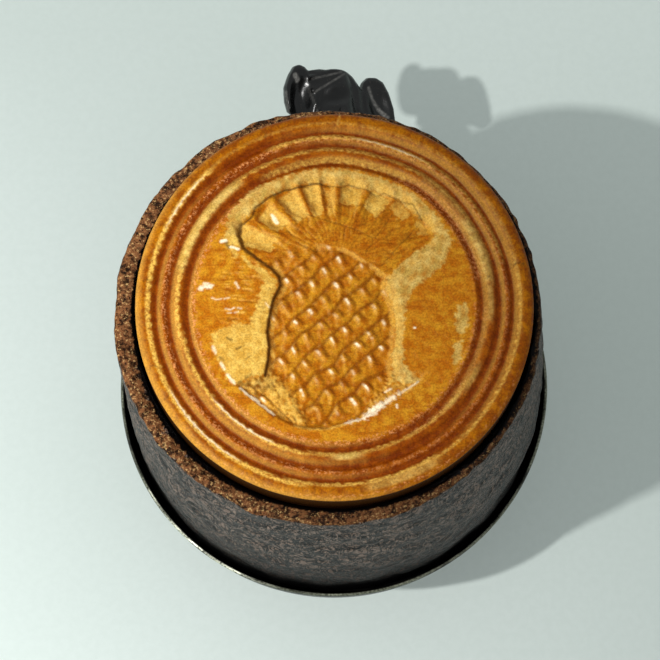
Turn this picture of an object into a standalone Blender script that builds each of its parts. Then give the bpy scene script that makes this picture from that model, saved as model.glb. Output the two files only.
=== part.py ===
"""A one-pound butter mold, standing mouth up on the handle of its plunger.

A turned case slides and turns on a plunger rod. The rod carries a carved
print, which fills the mouth of the case, and below it a drip pan and a handle.
A wing screw behind the case presses a swivel pad on the wall and locks it.
Lengths are in metres, +Z is up, and the handle rests on the plane z = 0.
"""
import math

import bmesh
import bpy
from mathutils import Matrix, Vector

# Clearances shared by all the pieces
SEAT_GAP = 0.0003
SLIDE_GAP = 0.0004
CUT_OVERRUN = 0.002
WELD = 0.00001

# Plunger rod and its tenon
ROD_RADIUS = 0.0095
ROD_SHOULDER_WIDTH = 0.0025
ROD_TENON_LENGTH = 0.0070
ROD_CHAMFER = 0.0010

# Handle
HANDLE_HEIGHT = 0.0457
HANDLE_FOOT_RADIUS = 0.0265
HANDLE_FOOT_ROUND = 0.0030
HANDLE_FOOT_THICKNESS = 0.0095
HANDLE_WAIST_WALL = 0.0045
HANDLE_HEAD_WALL = 0.0120
HANDLE_HEAD_THICKNESS = 0.0100
HANDLE_EDGE_CHAMFER = 0.0010
HANDLE_SOCKET_FLOOR = 0.0137
HANDLE_PIN_RADIUS = 0.0022

# Drip pan, pressed from sheet
PAN_SHEET = 0.0009
PAN_DEPTH = 0.0140
PAN_RIM_CLEARANCE = 0.0019
PAN_WALL_LEAN = 0.0012
PAN_CORNER_RADIUS = 0.0030
PAN_SCREW_COUNT = 3
PAN_SCREW_RADIUS = 0.0015
PAN_SCREW_LENGTH = 0.0080
PAN_SCREW_HEAD_RADIUS = 0.0032
PAN_SCREW_HEAD_HEIGHT = 0.0016
PAN_SCREW_HEADROOM = 0.0007

# Case
CASE_HEIGHT = 0.1008
CASE_BORE_RADIUS = 0.0510
CASE_RIM_WALL = 0.0040
CASE_BAND_WALL = 0.0077
CASE_BAND_MARGIN = 0.0010
CASE_RIM_ROUND = 0.0014
CASE_FOOT_ROUND = 0.0050
CASE_MOUTH_FLARE = 0.0006
CASE_RABBET_STEP = 0.0020
CASE_RIM_SHIFT_X = -0.0016
CASE_RIM_SHIFT_Y = -0.0007

# Floor of the case, with its bush, rod seal and retainer
FLOOR_THICKNESS = 0.0077
BRAD_COUNT = 6
BRAD_RADIUS = 0.0008
BRAD_LENGTH = 0.0088
BUSH_WALL = 0.0032
BUSH_LENGTH = 0.0052
BUSH_FLANGE_RADIUS = 0.0165
BUSH_FLANGE_THICKNESS = 0.0014
SEAL_RADIUS = 0.0160
SEAL_THICKNESS = 0.0020
RETAINER_OVERLAP = 0.0080
RETAINER_THICKNESS = 0.0012
RETAINER_ROD_CLEARANCE = 0.0017
RETAINER_SCREW_COUNT = 4
RETAINER_SCREW_RADIUS = 0.0012
RETAINER_SCREW_LENGTH = 0.0060
RETAINER_SCREW_HEAD_RADIUS = 0.0022

# Print
PRINT_THICKNESS = 0.0150
PRINT_PROUD = 0.0080
PRINT_CLEARANCE = 0.0004
PRINT_BACK_ROUND = 0.0015
RING_DEPTH = 0.0016
MOTIF_DEPTH = 0.0022
HATCH_PITCH = 0.0045
HATCH_WIDTH = 0.0034
HATCH_DEPTH = 0.0011
FLUTE_COUNT = 9
FLUTE_DEPTH = 0.0012

# Wing screw, its swivel pad and the arm that holds it
SCREW_RADIUS = 0.0035
SCREW_BORE_CLEARANCE = 0.0003
SCREW_TRAVEL = 0.0030
FACING_THICKNESS = 0.0009
PAD_RADIUS = 0.0070
PAD_THICKNESS = 0.0028
PAD_SOCKET_DEPTH = 0.0018
ARM_WIDTH = 0.0130
ARM_THICKNESS = 0.0042
ARM_HANDLE_CLEARANCE = 0.0030
ARM_PAN_CLEARANCE = 0.0010
ARM_EDGE_ROUND = 0.0007
ARM_RIB_WIDTH = 0.0032
BOSS_RADIUS = 0.0080
BOSS_LENGTH = 0.0064
BOSS_RIM_CLEARANCE = 0.0025
RIVET_RADIUS = 0.0018
RIVET_HEAD_RADIUS = 0.0034
RIVET_HEAD_HEIGHT = 0.0013
HUB_CLEARANCE = 0.0012
HUB_LENGTH = 0.0174
HUB_RADIUS = 0.0080
WING_TILT = math.radians(22)
WING_THICKNESS = 0.0046
WING_SPAN = 0.0146
WING_TIP_RADIUS = 0.0030
WING_REACH = 0.0171
WING_EDGE_ROUND = 0.0014
WING_PIN_RADIUS = 0.0011

# Faces round a turn
FINE_STEPS = 60
MEDIUM_STEPS = 28
SMALL_STEPS = 16
HOLE_STEPS = 12
BRAD_STEPS = 8

# The print's rings: (share of the print's radius, share of the ring depth)
RING_SHARES = (
    (1.000, 0.62),
    (0.992, 0.24),
    (0.968, 0.00),
    (0.940, 0.05),
    (0.916, 0.38),
    (0.904, 1.00),
    (0.889, 1.00),
    (0.877, 0.42),
    (0.862, 0.36),
    (0.850, 1.00),
    (0.826, 1.00),
    (0.806, 0.28),
    (0.784, 0.14),
    (0.762, 0.30),
    (0.742, 0.95),
    (0.722, 0.95),
    (0.704, 0.45),
)

# The motif's outline in shares of the print's radius, from the left neck
# round the bulb and its two bracts to the right neck, then over the crown
MOTIF_SHARES = (
    (-0.461, 0.300),
    (-0.366, 0.233),
    (-0.271, 0.166),
    (-0.266, 0.088),
    (-0.316, -0.067),
    (-0.336, -0.220),
    (-0.346, -0.367),
    (-0.461, -0.419),
    (-0.366, -0.481),
    (-0.251, -0.559),
    (-0.150, -0.612),
    (0.000, -0.612),
    (0.136, -0.585),
    (0.252, -0.507),
    (0.352, -0.445),
    (0.417, -0.393),
    (0.292, -0.378),
    (0.287, -0.230),
    (0.287, -0.067),
    (0.246, 0.098),
    (0.327, 0.181),
    (0.427, 0.269),
    (0.455, 0.345),
    (0.400, 0.445),
    (0.300, 0.520),
    (0.160, 0.570),
    (0.000, 0.590),
    (-0.160, 0.570),
    (-0.290, 0.510),
    (-0.400, 0.420),
    (-0.455, 0.345),
)
MOTIF_FLOOR_SHARE = 0.96
BULB_CENTRE_SHARES = (-0.030, -0.215)
BULB_SIZE_SHARES = (0.275, 0.395)
BULB_HATCH_TURNS = (math.radians(-52), math.radians(42))
CROWN_CENTRE_SHARES = (0.0, 0.160)
CROWN_SIZE_SHARES = (0.455, 0.450)
CROWN_SPREAD = math.radians(150)
FLUTE_INNER_SHARE = 0.52
FLUTE_WIDTH_SHARE = 0.50

# The hub's stepped outline: (share of its length from the end, share of its radius)
HUB_SHARES = (
    (0.00, 0.54),
    (0.03, 0.62),
    (0.29, 0.97),
    (0.33, 1.00),
    (0.39, 0.97),
    (0.46, 0.84),
    (0.70, 0.84),
    (0.78, 0.92),
    (0.96, 0.92),
    (1.00, 0.84),
)
# How far each wing spreads at its foot, as a share of the span at its tip
WING_FOOT_SHARES = (0.90, 1.30)

# Where the rivets stand: shares of the way from the arm's start to the case's wall
RIVET_PLACE_SHARES = (0.26, 0.65)

# Radii that follow from the sizes above
CASE_RIM_RADIUS = CASE_BORE_RADIUS + CASE_RIM_WALL
CASE_BAND_RADIUS = CASE_BORE_RADIUS + CASE_BAND_WALL
CASE_RABBET_RADIUS = CASE_BORE_RADIUS + CASE_RABBET_STEP
PAN_RIM_RADIUS = CASE_BAND_RADIUS + PAN_RIM_CLEARANCE + PAN_SHEET
PRINT_RADIUS = CASE_BORE_RADIUS - PRINT_CLEARANCE
ROD_TENON_RADIUS = ROD_RADIUS - ROD_SHOULDER_WIDTH
ROD_HOLE_RADIUS = ROD_RADIUS + SLIDE_GAP
BUSH_RADIUS = ROD_HOLE_RADIUS + BUSH_WALL
HANDLE_WAIST_RADIUS = ROD_RADIUS + HANDLE_WAIST_WALL
HANDLE_HEAD_RADIUS = ROD_RADIUS + HANDLE_HEAD_WALL
PAN_SCREW_CIRCLE = 0.5 * (ROD_HOLE_RADIUS + HANDLE_HEAD_RADIUS)
RETAINER_RADIUS = SEAL_RADIUS + RETAINER_OVERLAP
RETAINER_HOLE_RADIUS = ROD_RADIUS + RETAINER_ROD_CLEARANCE

# Heights that follow, from the handle up
HANDLE_PIN_HEIGHT = 0.5 * (HANDLE_FOOT_THICKNESS + HANDLE_HEIGHT - HANDLE_HEAD_THICKNESS)
ROD_BASE = HANDLE_SOCKET_FLOOR + SEAT_GAP
PAN_BASE = HANDLE_HEIGHT + SEAT_GAP
PAN_FLOOR = PAN_BASE + PAN_SHEET
PAN_RIM = PAN_BASE + PAN_DEPTH
CASE_BASE = PAN_FLOOR + SEAT_GAP
CASE_TOP = CASE_BASE + CASE_HEIGHT
RETAINER_BASE = CASE_BASE + PAN_SCREW_HEAD_HEIGHT + PAN_SCREW_HEADROOM
FLOOR_BASE = RETAINER_BASE + RETAINER_THICKNESS + SEAT_GAP
FLOOR_TOP = FLOOR_BASE + FLOOR_THICKNESS
RABBET_TOP = FLOOR_TOP + SEAT_GAP
PRINT_TOP = CASE_TOP + PRINT_PROUD
PRINT_BASE = PRINT_TOP - PRINT_THICKNESS
ROD_SHOULDER = PRINT_BASE - SEAT_GAP
FIELD_HEIGHT = PRINT_TOP - RING_SHARES[-1][1] * RING_DEPTH
SCREW_AXIS_HEIGHT = PAN_RIM + BOSS_RIM_CLEARANCE + BOSS_RADIUS
CASE_BAND_TOP = SCREW_AXIS_HEIGHT + PAD_RADIUS + CASE_BAND_MARGIN

# Places along the wing screw, out from the case
FACING_FACE = CASE_BAND_RADIUS + SEAT_GAP
PAD_FACE = FACING_FACE + FACING_THICKNESS + SEAT_GAP
PAD_BACK = PAD_FACE + PAD_THICKNESS
SCREW_TIP = PAD_BACK - PAD_SOCKET_DEPTH + SEAT_GAP
BOSS_FACE = PAD_BACK + SCREW_TRAVEL + SEAT_GAP
BOSS_BACK = BOSS_FACE + BOSS_LENGTH
HUB_BASE = BOSS_BACK + HUB_CLEARANCE
ARM_FACE = PAN_RIM_RADIUS + ARM_PAN_CLEARANCE
ARM_START = HANDLE_HEAD_RADIUS + ARM_HANDLE_CLEARANCE


def clear_scene():
    """Remove whatever the scene holds."""
    for item in list(bpy.data.objects):
        bpy.data.objects.remove(item, do_unlink=True)


clear_scene()
PARTS = bpy.data.collections.new("butter_mold")
CUTTERS = bpy.data.collections.new("cutters")
bpy.context.scene.collection.children.link(PARTS)
bpy.context.scene.collection.children.link(CUTTERS)


def finish(name, colour, roughness, metallic):
    """A plain material with the piece's colour and gloss."""
    material = bpy.data.materials.new(name)
    material.use_nodes = True
    shader = material.node_tree.nodes["Principled BSDF"]
    shader.inputs["Base Color"].default_value = (*colour, 1.0)
    shader.inputs["Roughness"].default_value = roughness
    shader.inputs["Metallic"].default_value = metallic
    material.diffuse_color = (*colour, 1.0)
    return material


def add_part(name, mesh, colour, roughness=0.5, metallic=0.0):
    """A sub-part of the mold, with a material of its own."""
    part = bpy.data.objects.new(name, mesh)
    PARTS.objects.link(part)
    mesh.materials.append(finish(name + "_finish", colour, roughness, metallic))
    return part


def add_cutter(name, mesh):
    """A solid that is only cut away from a part, or joined to one."""
    cutter = bpy.data.objects.new(name, mesh)
    CUTTERS.objects.link(cutter)
    cutter.hide_render = True
    cutter.display_type = "WIRE"
    return cutter


def turned_mesh(name, profile, closed=False):
    """The profile of a turned solid, as points of (radius, height)."""
    mesh = bpy.data.meshes.new(name)
    points = [(radius, 0.0, height) for radius, height in profile]
    edges = [(i, i + 1) for i in range(len(points) - 1)]
    if closed:
        edges.append((len(points) - 1, 0))
    mesh.from_pydata(points, edges, [])
    return mesh


def turn(item, steps):
    """Turn an object's profile round its own Z axis."""
    screw = item.modifiers.new("Turning", "SCREW")
    screw.axis = "Z"
    screw.angle = math.tau
    screw.steps = steps
    screw.render_steps = steps
    screw.use_merge_vertices = True
    screw.merge_threshold = WELD
    screw.use_smooth_shade = True
    return item


def rod_profile(radius, low, high):
    """The profile of a plain round bar."""
    return [(0.0, high), (radius, high), (radius, low), (0.0, low)]


def round_cutter(name, radius, low, high, steps=HOLE_STEPS):
    """A round bar along Z that cuts a hole."""
    cutter = add_cutter(name, turned_mesh(name, rod_profile(radius, low, high)))
    return turn(cutter, steps)


def arc(centre, radius, start, end, count):
    """Points along an arc, with both its ends."""
    points = []
    for i in range(count + 1):
        angle = math.radians(start + (end - start) * i / count)
        points.append((centre[0] + radius * math.cos(angle), centre[1] + radius * math.sin(angle)))
    return points


def boolean(part, other, operation="DIFFERENCE"):
    """Cut another solid away from a part, or join it to the part."""
    step = part.modifiers.new(operation.title(), "BOOLEAN")
    step.operation = operation
    step.object = other
    step.solver = "EXACT"
    return part


def flat_mesh(name, outline, thickness, smooth=False):
    """A flat solid from an outline in its own XY plane, centred on Z."""
    curve = bpy.data.curves.new(name, "CURVE")
    curve.dimensions = "2D"
    curve.fill_mode = "BOTH"
    curve.extrude = 0.5 * thickness
    if smooth:
        spline = curve.splines.new("BEZIER")
        spline.bezier_points.add(len(outline) - 1)
        for point, place in zip(spline.bezier_points, outline):
            point.co = (*place, 0.0)
            point.handle_left_type = "AUTO"
            point.handle_right_type = "AUTO"
        spline.resolution_u = 3
    else:
        spline = curve.splines.new("POLY")
        spline.points.add(len(outline) - 1)
        for point, place in zip(spline.points, outline):
            point.co = (*place, 0.0, 1.0)
    spline.use_cyclic_u = True
    holder = bpy.data.objects.new(name, curve)
    CUTTERS.objects.link(holder)
    bpy.context.view_layer.update()
    graph = bpy.context.evaluated_depsgraph_get()
    mesh = bpy.data.meshes.new_from_object(holder.evaluated_get(graph))
    bpy.data.objects.remove(holder, do_unlink=True)
    bpy.data.curves.remove(curve)
    shape = bmesh.new()
    shape.from_mesh(mesh)
    bmesh.ops.remove_doubles(shape, verts=shape.verts, dist=WELD)
    bmesh.ops.recalc_face_normals(shape, faces=shape.faces)
    shape.to_mesh(mesh)
    shape.free()
    mesh.name = name
    return mesh


def joined_mesh(name, items):
    """One mesh of several separate solids, each at its own place."""
    graph = bpy.context.evaluated_depsgraph_get()
    group = bmesh.new()
    for item in items:
        piece = bpy.data.meshes.new_from_object(item.evaluated_get(graph))
        piece.transform(item.matrix_world)
        group.from_mesh(piece)
        bpy.data.meshes.remove(piece)
    mesh = bpy.data.meshes.new(name)
    group.to_mesh(mesh)
    group.free()
    mesh.shade_smooth()
    mesh.set_sharp_from_angle(angle=math.radians(35))
    return mesh


def half_facet(steps):
    """A turn by half a facet, which keeps a hole's corners off the edges it cuts."""
    return Matrix.Rotation(math.pi / steps, 4, "Z")


def bar_group(name, profile, places, steps=HOLE_STEPS):
    """Copies of one turned shape at several places, as one mesh."""
    copies = []
    for i, place in enumerate(places):
        copy = add_cutter(f"{name}_{i}", turned_mesh(name, profile))
        copy.matrix_world = place @ half_facet(steps)
        copies.append(turn(copy, steps))
    bpy.context.view_layer.update()
    mesh = joined_mesh(name, copies)
    for copy in copies:
        bpy.data.objects.remove(copy, do_unlink=True)
    return mesh


def add_copies(name, profile, places, colour, roughness, metallic, steps=HOLE_STEPS):
    """The same turned piece at several places, each a part of its own."""
    mesh = turned_mesh(name, profile)
    mesh.materials.append(finish(name + "_finish", colour, roughness, metallic))
    for i, place in enumerate(places):
        copy = bpy.data.objects.new(f"{name}_{i + 1}", mesh)
        PARTS.objects.link(copy)
        copy.matrix_world = place @ half_facet(steps)
        turn(copy, steps)


def ring_places(count, radius, first=0.0):
    """Upright places spaced evenly round a circle."""
    places = []
    for i in range(count):
        angle = first + math.tau * i / count
        places.append(Matrix.Translation((radius * math.cos(angle), radius * math.sin(angle), 0.0)))
    return places


def build_rod():
    """The turned rod, with a tenon under the print and a cross hole in the handle."""
    top = ROD_SHOULDER + ROD_TENON_LENGTH
    profile = [
        (0.0, top),
        (ROD_TENON_RADIUS - ROD_CHAMFER, top),
        (ROD_TENON_RADIUS, top - ROD_CHAMFER),
        (ROD_TENON_RADIUS, ROD_SHOULDER),
        (ROD_RADIUS, ROD_SHOULDER),
        (ROD_RADIUS, ROD_BASE + ROD_CHAMFER),
        (ROD_RADIUS - ROD_CHAMFER, ROD_BASE),
        (0.0, ROD_BASE),
    ]
    rod = turn(add_part("plunger_rod", turned_mesh("plunger_rod", profile), (0.45, 0.25, 0.11)), MEDIUM_STEPS)
    boolean(rod, pin_hole("rod_pin_hole"))


def pin_hole(name):
    """The cross hole that the handle's pin goes through."""
    reach = HANDLE_FOOT_RADIUS
    hole = round_cutter(name, HANDLE_PIN_RADIUS + SEAT_GAP, -reach, reach)
    hole.location = (0.0, 0.0, HANDLE_PIN_HEIGHT)
    hole.rotation_euler = (0.0, math.radians(90), 0.0)
    return hole


def build_handle():
    """The turned handle that the mold stands on, with a socket for the rod."""
    cove_low = HANDLE_FOOT_THICKNESS
    cove_high = HANDLE_HEIGHT - HANDLE_HEAD_THICKNESS
    edge = HANDLE_EDGE_CHAMFER
    profile = [
        (0.0, HANDLE_HEIGHT),
        (HANDLE_HEAD_RADIUS - edge, HANDLE_HEIGHT),
        (HANDLE_HEAD_RADIUS, HANDLE_HEIGHT - edge),
        (HANDLE_HEAD_RADIUS, cove_high + edge),
    ]
    cove_count = 8
    for i in range(cove_count + 1):
        share = i / cove_count
        end_radius = HANDLE_HEAD_RADIUS + (HANDLE_FOOT_RADIUS - HANDLE_HEAD_RADIUS) * share
        pinch = math.sin(math.pi * share) ** 0.8
        radius = end_radius + (HANDLE_WAIST_RADIUS - end_radius) * pinch
        profile.append((radius, cove_high + (cove_low - cove_high) * share))
    inner = HANDLE_FOOT_RADIUS - HANDLE_FOOT_ROUND
    profile += arc((inner, HANDLE_FOOT_ROUND), HANDLE_FOOT_ROUND, 0, -90, 3)
    profile.append((0.0, 0.0))
    handle = add_part("handle_grip", turned_mesh("handle_grip", profile), (0.42, 0.22, 0.10))
    turn(handle, MEDIUM_STEPS)
    socket = round_cutter(
        "handle_socket", ROD_RADIUS + SEAT_GAP, ROD_BASE - SEAT_GAP, HANDLE_HEIGHT + CUT_OVERRUN, MEDIUM_STEPS
    )
    boolean(handle, socket)
    boolean(handle, pin_hole("handle_pin_hole"))
    low = PAN_FLOOR - PAN_SCREW_LENGTH
    profile = rod_profile(PAN_SCREW_RADIUS + SEAT_GAP, low, HANDLE_HEIGHT + CUT_OVERRUN)
    holes = bar_group("handle_screw_holes", profile, pan_screw_places())
    boolean(handle, add_cutter("handle_screw_holes", holes))
    pin_reach = HANDLE_WAIST_RADIUS - SEAT_GAP
    pin = add_part(
        "handle_pin",
        turned_mesh("handle_pin", rod_profile(HANDLE_PIN_RADIUS, -pin_reach, pin_reach)),
        (0.50, 0.32, 0.16),
    )
    turn(pin, SMALL_STEPS)
    pin.location = (0.0, 0.0, HANDLE_PIN_HEIGHT)
    pin.rotation_euler = (0.0, math.radians(90), 0.0)


def pan_screw_places():
    """Where the screws through the pan stand, clear of the arm's foot."""
    return ring_places(PAN_SCREW_COUNT, PAN_SCREW_CIRCLE, math.radians(-90))


def rivet_places():
    """Where the rivets through the arm's foot stand, out from the handle."""
    room = CASE_RABBET_RADIUS - ARM_START
    return [Matrix.Translation((0.0, ARM_START + room * share, 0.0)) for share in RIVET_PLACE_SHARES]


def build_pan():
    """The pressed drip pan, with its screws."""
    foot = PAN_RIM_RADIUS - PAN_WALL_LEAN
    corner = PAN_CORNER_RADIUS
    profile = [(PAN_RIM_RADIUS, PAN_RIM)]
    profile += arc((foot - corner, PAN_BASE + corner), corner, 0, -90, 4)
    profile.append((ROD_HOLE_RADIUS, PAN_BASE))
    pan = add_part("drip_pan", turned_mesh("drip_pan", profile), (0.03, 0.03, 0.032), 0.35, 0.6)
    turn(pan, FINE_STEPS)
    sheet = pan.modifiers.new("Sheet", "SOLIDIFY")
    sheet.thickness = PAN_SHEET
    sheet.offset = -1.0
    sheet.use_even_offset = True
    low = PAN_BASE - CUT_OVERRUN
    high = PAN_FLOOR + CUT_OVERRUN
    for name, radius, places in (
        ("pan_screw_holes", PAN_SCREW_RADIUS, pan_screw_places()),
        ("pan_rivet_holes", RIVET_RADIUS, rivet_places()),
    ):
        mesh = bar_group(name, rod_profile(radius + SEAT_GAP, low, high), places)
        boolean(pan, add_cutter(name, mesh))
    base = PAN_FLOOR + SEAT_GAP
    head = base + PAN_SCREW_HEAD_HEIGHT
    profile = [
        (0.0, head),
        (0.6 * PAN_SCREW_HEAD_RADIUS, head - 0.15 * PAN_SCREW_HEAD_HEIGHT),
        (PAN_SCREW_HEAD_RADIUS, base + 0.3 * PAN_SCREW_HEAD_HEIGHT),
        (PAN_SCREW_HEAD_RADIUS, base),
        (PAN_SCREW_RADIUS, base),
        (PAN_SCREW_RADIUS, base - 0.8 * PAN_SCREW_LENGTH),
        (0.0, base - PAN_SCREW_LENGTH),
    ]
    add_copies("pan_screw", profile, pan_screw_places(), (0.35, 0.34, 0.32), 0.4, 1.0)


def lean_case(mesh):
    """Shift the outside off the bore's axis, as on a case that has worn out of true."""
    middle_of_wall = 0.5 * (CASE_BORE_RADIUS + CASE_RIM_RADIUS)
    for vertex in mesh.vertices:
        if math.hypot(vertex.co.x, vertex.co.y) < middle_of_wall:
            continue
        share = max(0.0, (vertex.co.z - CASE_BAND_TOP) / (CASE_TOP - CASE_BAND_TOP))
        vertex.co.x += CASE_RIM_SHIFT_X * share
        vertex.co.y += CASE_RIM_SHIFT_Y * share


def build_case():
    """The turned case: a straight band at the foot, then a taper to the rim."""
    rim = CASE_RIM_RADIUS - CASE_RIM_ROUND
    foot = CASE_BAND_RADIUS - CASE_FOOT_ROUND
    mouth = CASE_BORE_RADIUS + CASE_MOUTH_FLARE
    profile = arc((rim, CASE_TOP - CASE_RIM_ROUND), CASE_RIM_ROUND, 90, 0, 3)
    profile.append((CASE_BAND_RADIUS, CASE_BAND_TOP))
    profile += arc((foot, CASE_BASE + CASE_FOOT_ROUND), CASE_FOOT_ROUND, 0, -90, 4)
    profile += [
        (CASE_RABBET_RADIUS, CASE_BASE),
        (CASE_RABBET_RADIUS, RABBET_TOP),
        (CASE_BORE_RADIUS, RABBET_TOP),
        (CASE_BORE_RADIUS, CASE_TOP - CASE_RIM_ROUND - CASE_MOUTH_FLARE),
        (mouth, CASE_TOP - CASE_MOUTH_FLARE),
        (mouth, CASE_TOP),
    ]
    mesh = turned_mesh("case_blank", profile, closed=True)
    blank = turn(add_cutter("case_blank", mesh), FINE_STEPS)
    bpy.context.view_layer.update()
    mesh = joined_mesh("case_barrel", [blank])
    bpy.data.objects.remove(blank, do_unlink=True)
    lean_case(mesh)
    case = add_part("case_barrel", mesh, (0.06, 0.04, 0.03), 0.45)
    holes = bar_group("case_brad_holes", brad_profile(SEAT_GAP, CUT_OVERRUN), brad_places())
    boolean(case, add_cutter("case_brad_holes", holes))


def brad_profile(grow, overrun):
    """A brad, or with room to spare the hole that it lies in."""
    start = CASE_BAND_RADIUS - SEAT_GAP - BRAD_LENGTH
    return rod_profile(BRAD_RADIUS + grow, start - grow, CASE_BAND_RADIUS - SEAT_GAP + overrun)


def brad_places():
    """Places that lie along radii at the floor's middle height."""
    height = 0.5 * (FLOOR_BASE + FLOOR_TOP)
    tip = Matrix.Rotation(math.radians(90), 4, "Y")
    places = []
    for i in range(BRAD_COUNT):
        round_axis = Matrix.Rotation(math.tau * i / BRAD_COUNT, 4, "Z")
        places.append(Matrix.Translation((0.0, 0.0, height)) @ round_axis @ tip)
    return places


def build_floor():
    """The floor let into the case's foot, with brads, bush, seal and retainer."""
    floor_radius = CASE_RABBET_RADIUS - SEAT_GAP
    recess = SEAL_THICKNESS + 2.0 * SEAT_GAP
    profile = [
        (floor_radius, FLOOR_TOP),
        (floor_radius, FLOOR_BASE),
        (SEAL_RADIUS + SEAT_GAP, FLOOR_BASE),
        (SEAL_RADIUS + SEAT_GAP, FLOOR_BASE + recess),
        (BUSH_RADIUS + SEAT_GAP, FLOOR_BASE + recess),
        (BUSH_RADIUS + SEAT_GAP, FLOOR_TOP),
    ]
    mesh = turned_mesh("case_floor", profile, closed=True)
    floor = turn(add_part("case_floor", mesh, (0.40, 0.24, 0.12)), MEDIUM_STEPS)
    for name, shape, places in (
        ("floor_brad_holes", brad_profile(SEAT_GAP, CUT_OVERRUN), brad_places()),
        ("floor_screw_holes", retainer_screw_profile(SEAT_GAP), retainer_screw_places()),
    ):
        boolean(floor, add_cutter(name, bar_group(name, shape, places)))
    add_copies("floor_brad", brad_profile(0.0, 0.0), brad_places(), (0.20, 0.19, 0.18), 0.5, 1.0, BRAD_STEPS)

    flange = FLOOR_TOP + SEAT_GAP
    profile = [
        (BUSH_FLANGE_RADIUS, flange + BUSH_FLANGE_THICKNESS),
        (BUSH_FLANGE_RADIUS, flange),
        (BUSH_RADIUS, flange),
        (BUSH_RADIUS, FLOOR_TOP - BUSH_LENGTH + SEAT_GAP),
        (ROD_HOLE_RADIUS, FLOOR_TOP - BUSH_LENGTH + SEAT_GAP),
        (ROD_HOLE_RADIUS, flange + BUSH_FLANGE_THICKNESS),
    ]
    mesh = turned_mesh("floor_bush", profile, closed=True)
    turn(add_part("floor_bush", mesh, (0.60, 0.43, 0.18), 0.35, 1.0), MEDIUM_STEPS)

    low = FLOOR_BASE + 0.5 * SEAT_GAP
    high = low + SEAL_THICKNESS
    profile = [
        (SEAL_RADIUS, high),
        (SEAL_RADIUS, low),
        (ROD_RADIUS + SEAT_GAP, low),
        (ROD_RADIUS + SEAT_GAP, high),
    ]
    mesh = turned_mesh("rod_seal", profile, closed=True)
    turn(add_part("rod_seal", mesh, (0.16, 0.09, 0.05), 0.8), MEDIUM_STEPS)

    high = RETAINER_BASE + RETAINER_THICKNESS
    profile = [
        (RETAINER_RADIUS, high),
        (RETAINER_RADIUS, RETAINER_BASE),
        (RETAINER_HOLE_RADIUS, RETAINER_BASE),
        (RETAINER_HOLE_RADIUS, high),
    ]
    mesh = turned_mesh("seal_retainer", profile, closed=True)
    retainer = turn(add_part("seal_retainer", mesh, (0.60, 0.43, 0.18), 0.35, 1.0), MEDIUM_STEPS)
    holes = bar_group("retainer_holes", retainer_screw_profile(SEAT_GAP), retainer_screw_places())
    boolean(retainer, add_cutter("retainer_holes", holes))
    screw = retainer_screw_profile(0.0)
    add_copies("retainer_screw", screw, retainer_screw_places(), (0.60, 0.43, 0.18), 0.35, 1.0)


def retainer_screw_places():
    """Where the retainer's screws stand, between the seal and the rim."""
    return ring_places(RETAINER_SCREW_COUNT, 0.5 * (SEAL_RADIUS + RETAINER_RADIUS), math.radians(45))


def retainer_screw_profile(grow):
    """A countersunk screw from below, or with room to spare its hole."""
    low = RETAINER_BASE
    cone = RETAINER_SCREW_HEAD_RADIUS - RETAINER_SCREW_RADIUS
    reach = CUT_OVERRUN if grow else 0.0
    profile = [
        (0.0, low + RETAINER_SCREW_LENGTH + grow),
        (RETAINER_SCREW_RADIUS + grow, low + RETAINER_SCREW_LENGTH + grow),
        (RETAINER_SCREW_RADIUS + grow, low + cone),
        (RETAINER_SCREW_HEAD_RADIUS + grow, low),
    ]
    if grow:
        profile.append((RETAINER_SCREW_HEAD_RADIUS + grow, low - reach))
    profile.append((0.0, low - reach))
    return profile


def print_place(shares):
    """A place on the print's face, from shares of its radius."""
    return Vector((shares[0] * PRINT_RADIUS, shares[1] * PRINT_RADIUS, 0.0))


def motif_pocket():
    """The sunk ground of the motif, with walls that slope inward."""
    outline = [print_place(shares)[:2] for shares in MOTIF_SHARES]
    mesh = flat_mesh("motif_pocket", outline, 2.0 * MOTIF_DEPTH, smooth=True)
    middle = print_place(BULB_CENTRE_SHARES)
    for vertex in mesh.vertices:
        if vertex.co.z < 0.0:
            vertex.co.x = middle.x + (vertex.co.x - middle.x) * MOTIF_FLOOR_SHARE
            vertex.co.y = middle.y + (vertex.co.y - middle.y) * MOTIF_FLOOR_SHARE
    pocket = add_cutter("motif_pocket", mesh)
    pocket.location = (0.0, 0.0, FIELD_HEIGHT)
    return pocket


def hatch_groove(name, centre, turn_angle, offset):
    """One V groove across the bulb, as long as the bulb is wide there."""
    along = Vector((math.cos(turn_angle), math.sin(turn_angle)))
    across = Vector((-along.y, along.x))
    half = Vector((BULB_SIZE_SHARES[0] * PRINT_RADIUS, BULB_SIZE_SHARES[1] * PRINT_RADIUS))
    start = across * offset
    a = (along.x / half.x) ** 2 + (along.y / half.y) ** 2
    b = 2.0 * (start.x * along.x / half.x ** 2 + start.y * along.y / half.y ** 2)
    c = (start.x / half.x) ** 2 + (start.y / half.y) ** 2 - 1.0
    root = b * b - 4.0 * a * c
    if root <= 0.0:
        return None
    length = math.sqrt(root) / a
    if length < HATCH_PITCH:
        return None
    middle = start - along * (0.5 * b / a)
    outline = [(-0.5 * HATCH_WIDTH, HATCH_DEPTH), (0.0, -HATCH_DEPTH), (0.5 * HATCH_WIDTH, HATCH_DEPTH)]
    groove = add_cutter(name, flat_mesh(name, outline, length))
    floor = FIELD_HEIGHT - MOTIF_DEPTH
    upright = Matrix.Rotation(math.radians(90), 4, "X")
    facing = Matrix.Rotation(turn_angle - math.radians(90), 4, "Z")
    spot = Vector((centre.x + middle.x, centre.y + middle.y, floor))
    groove.matrix_world = Matrix.Translation(spot) @ facing @ upright
    return groove


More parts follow.
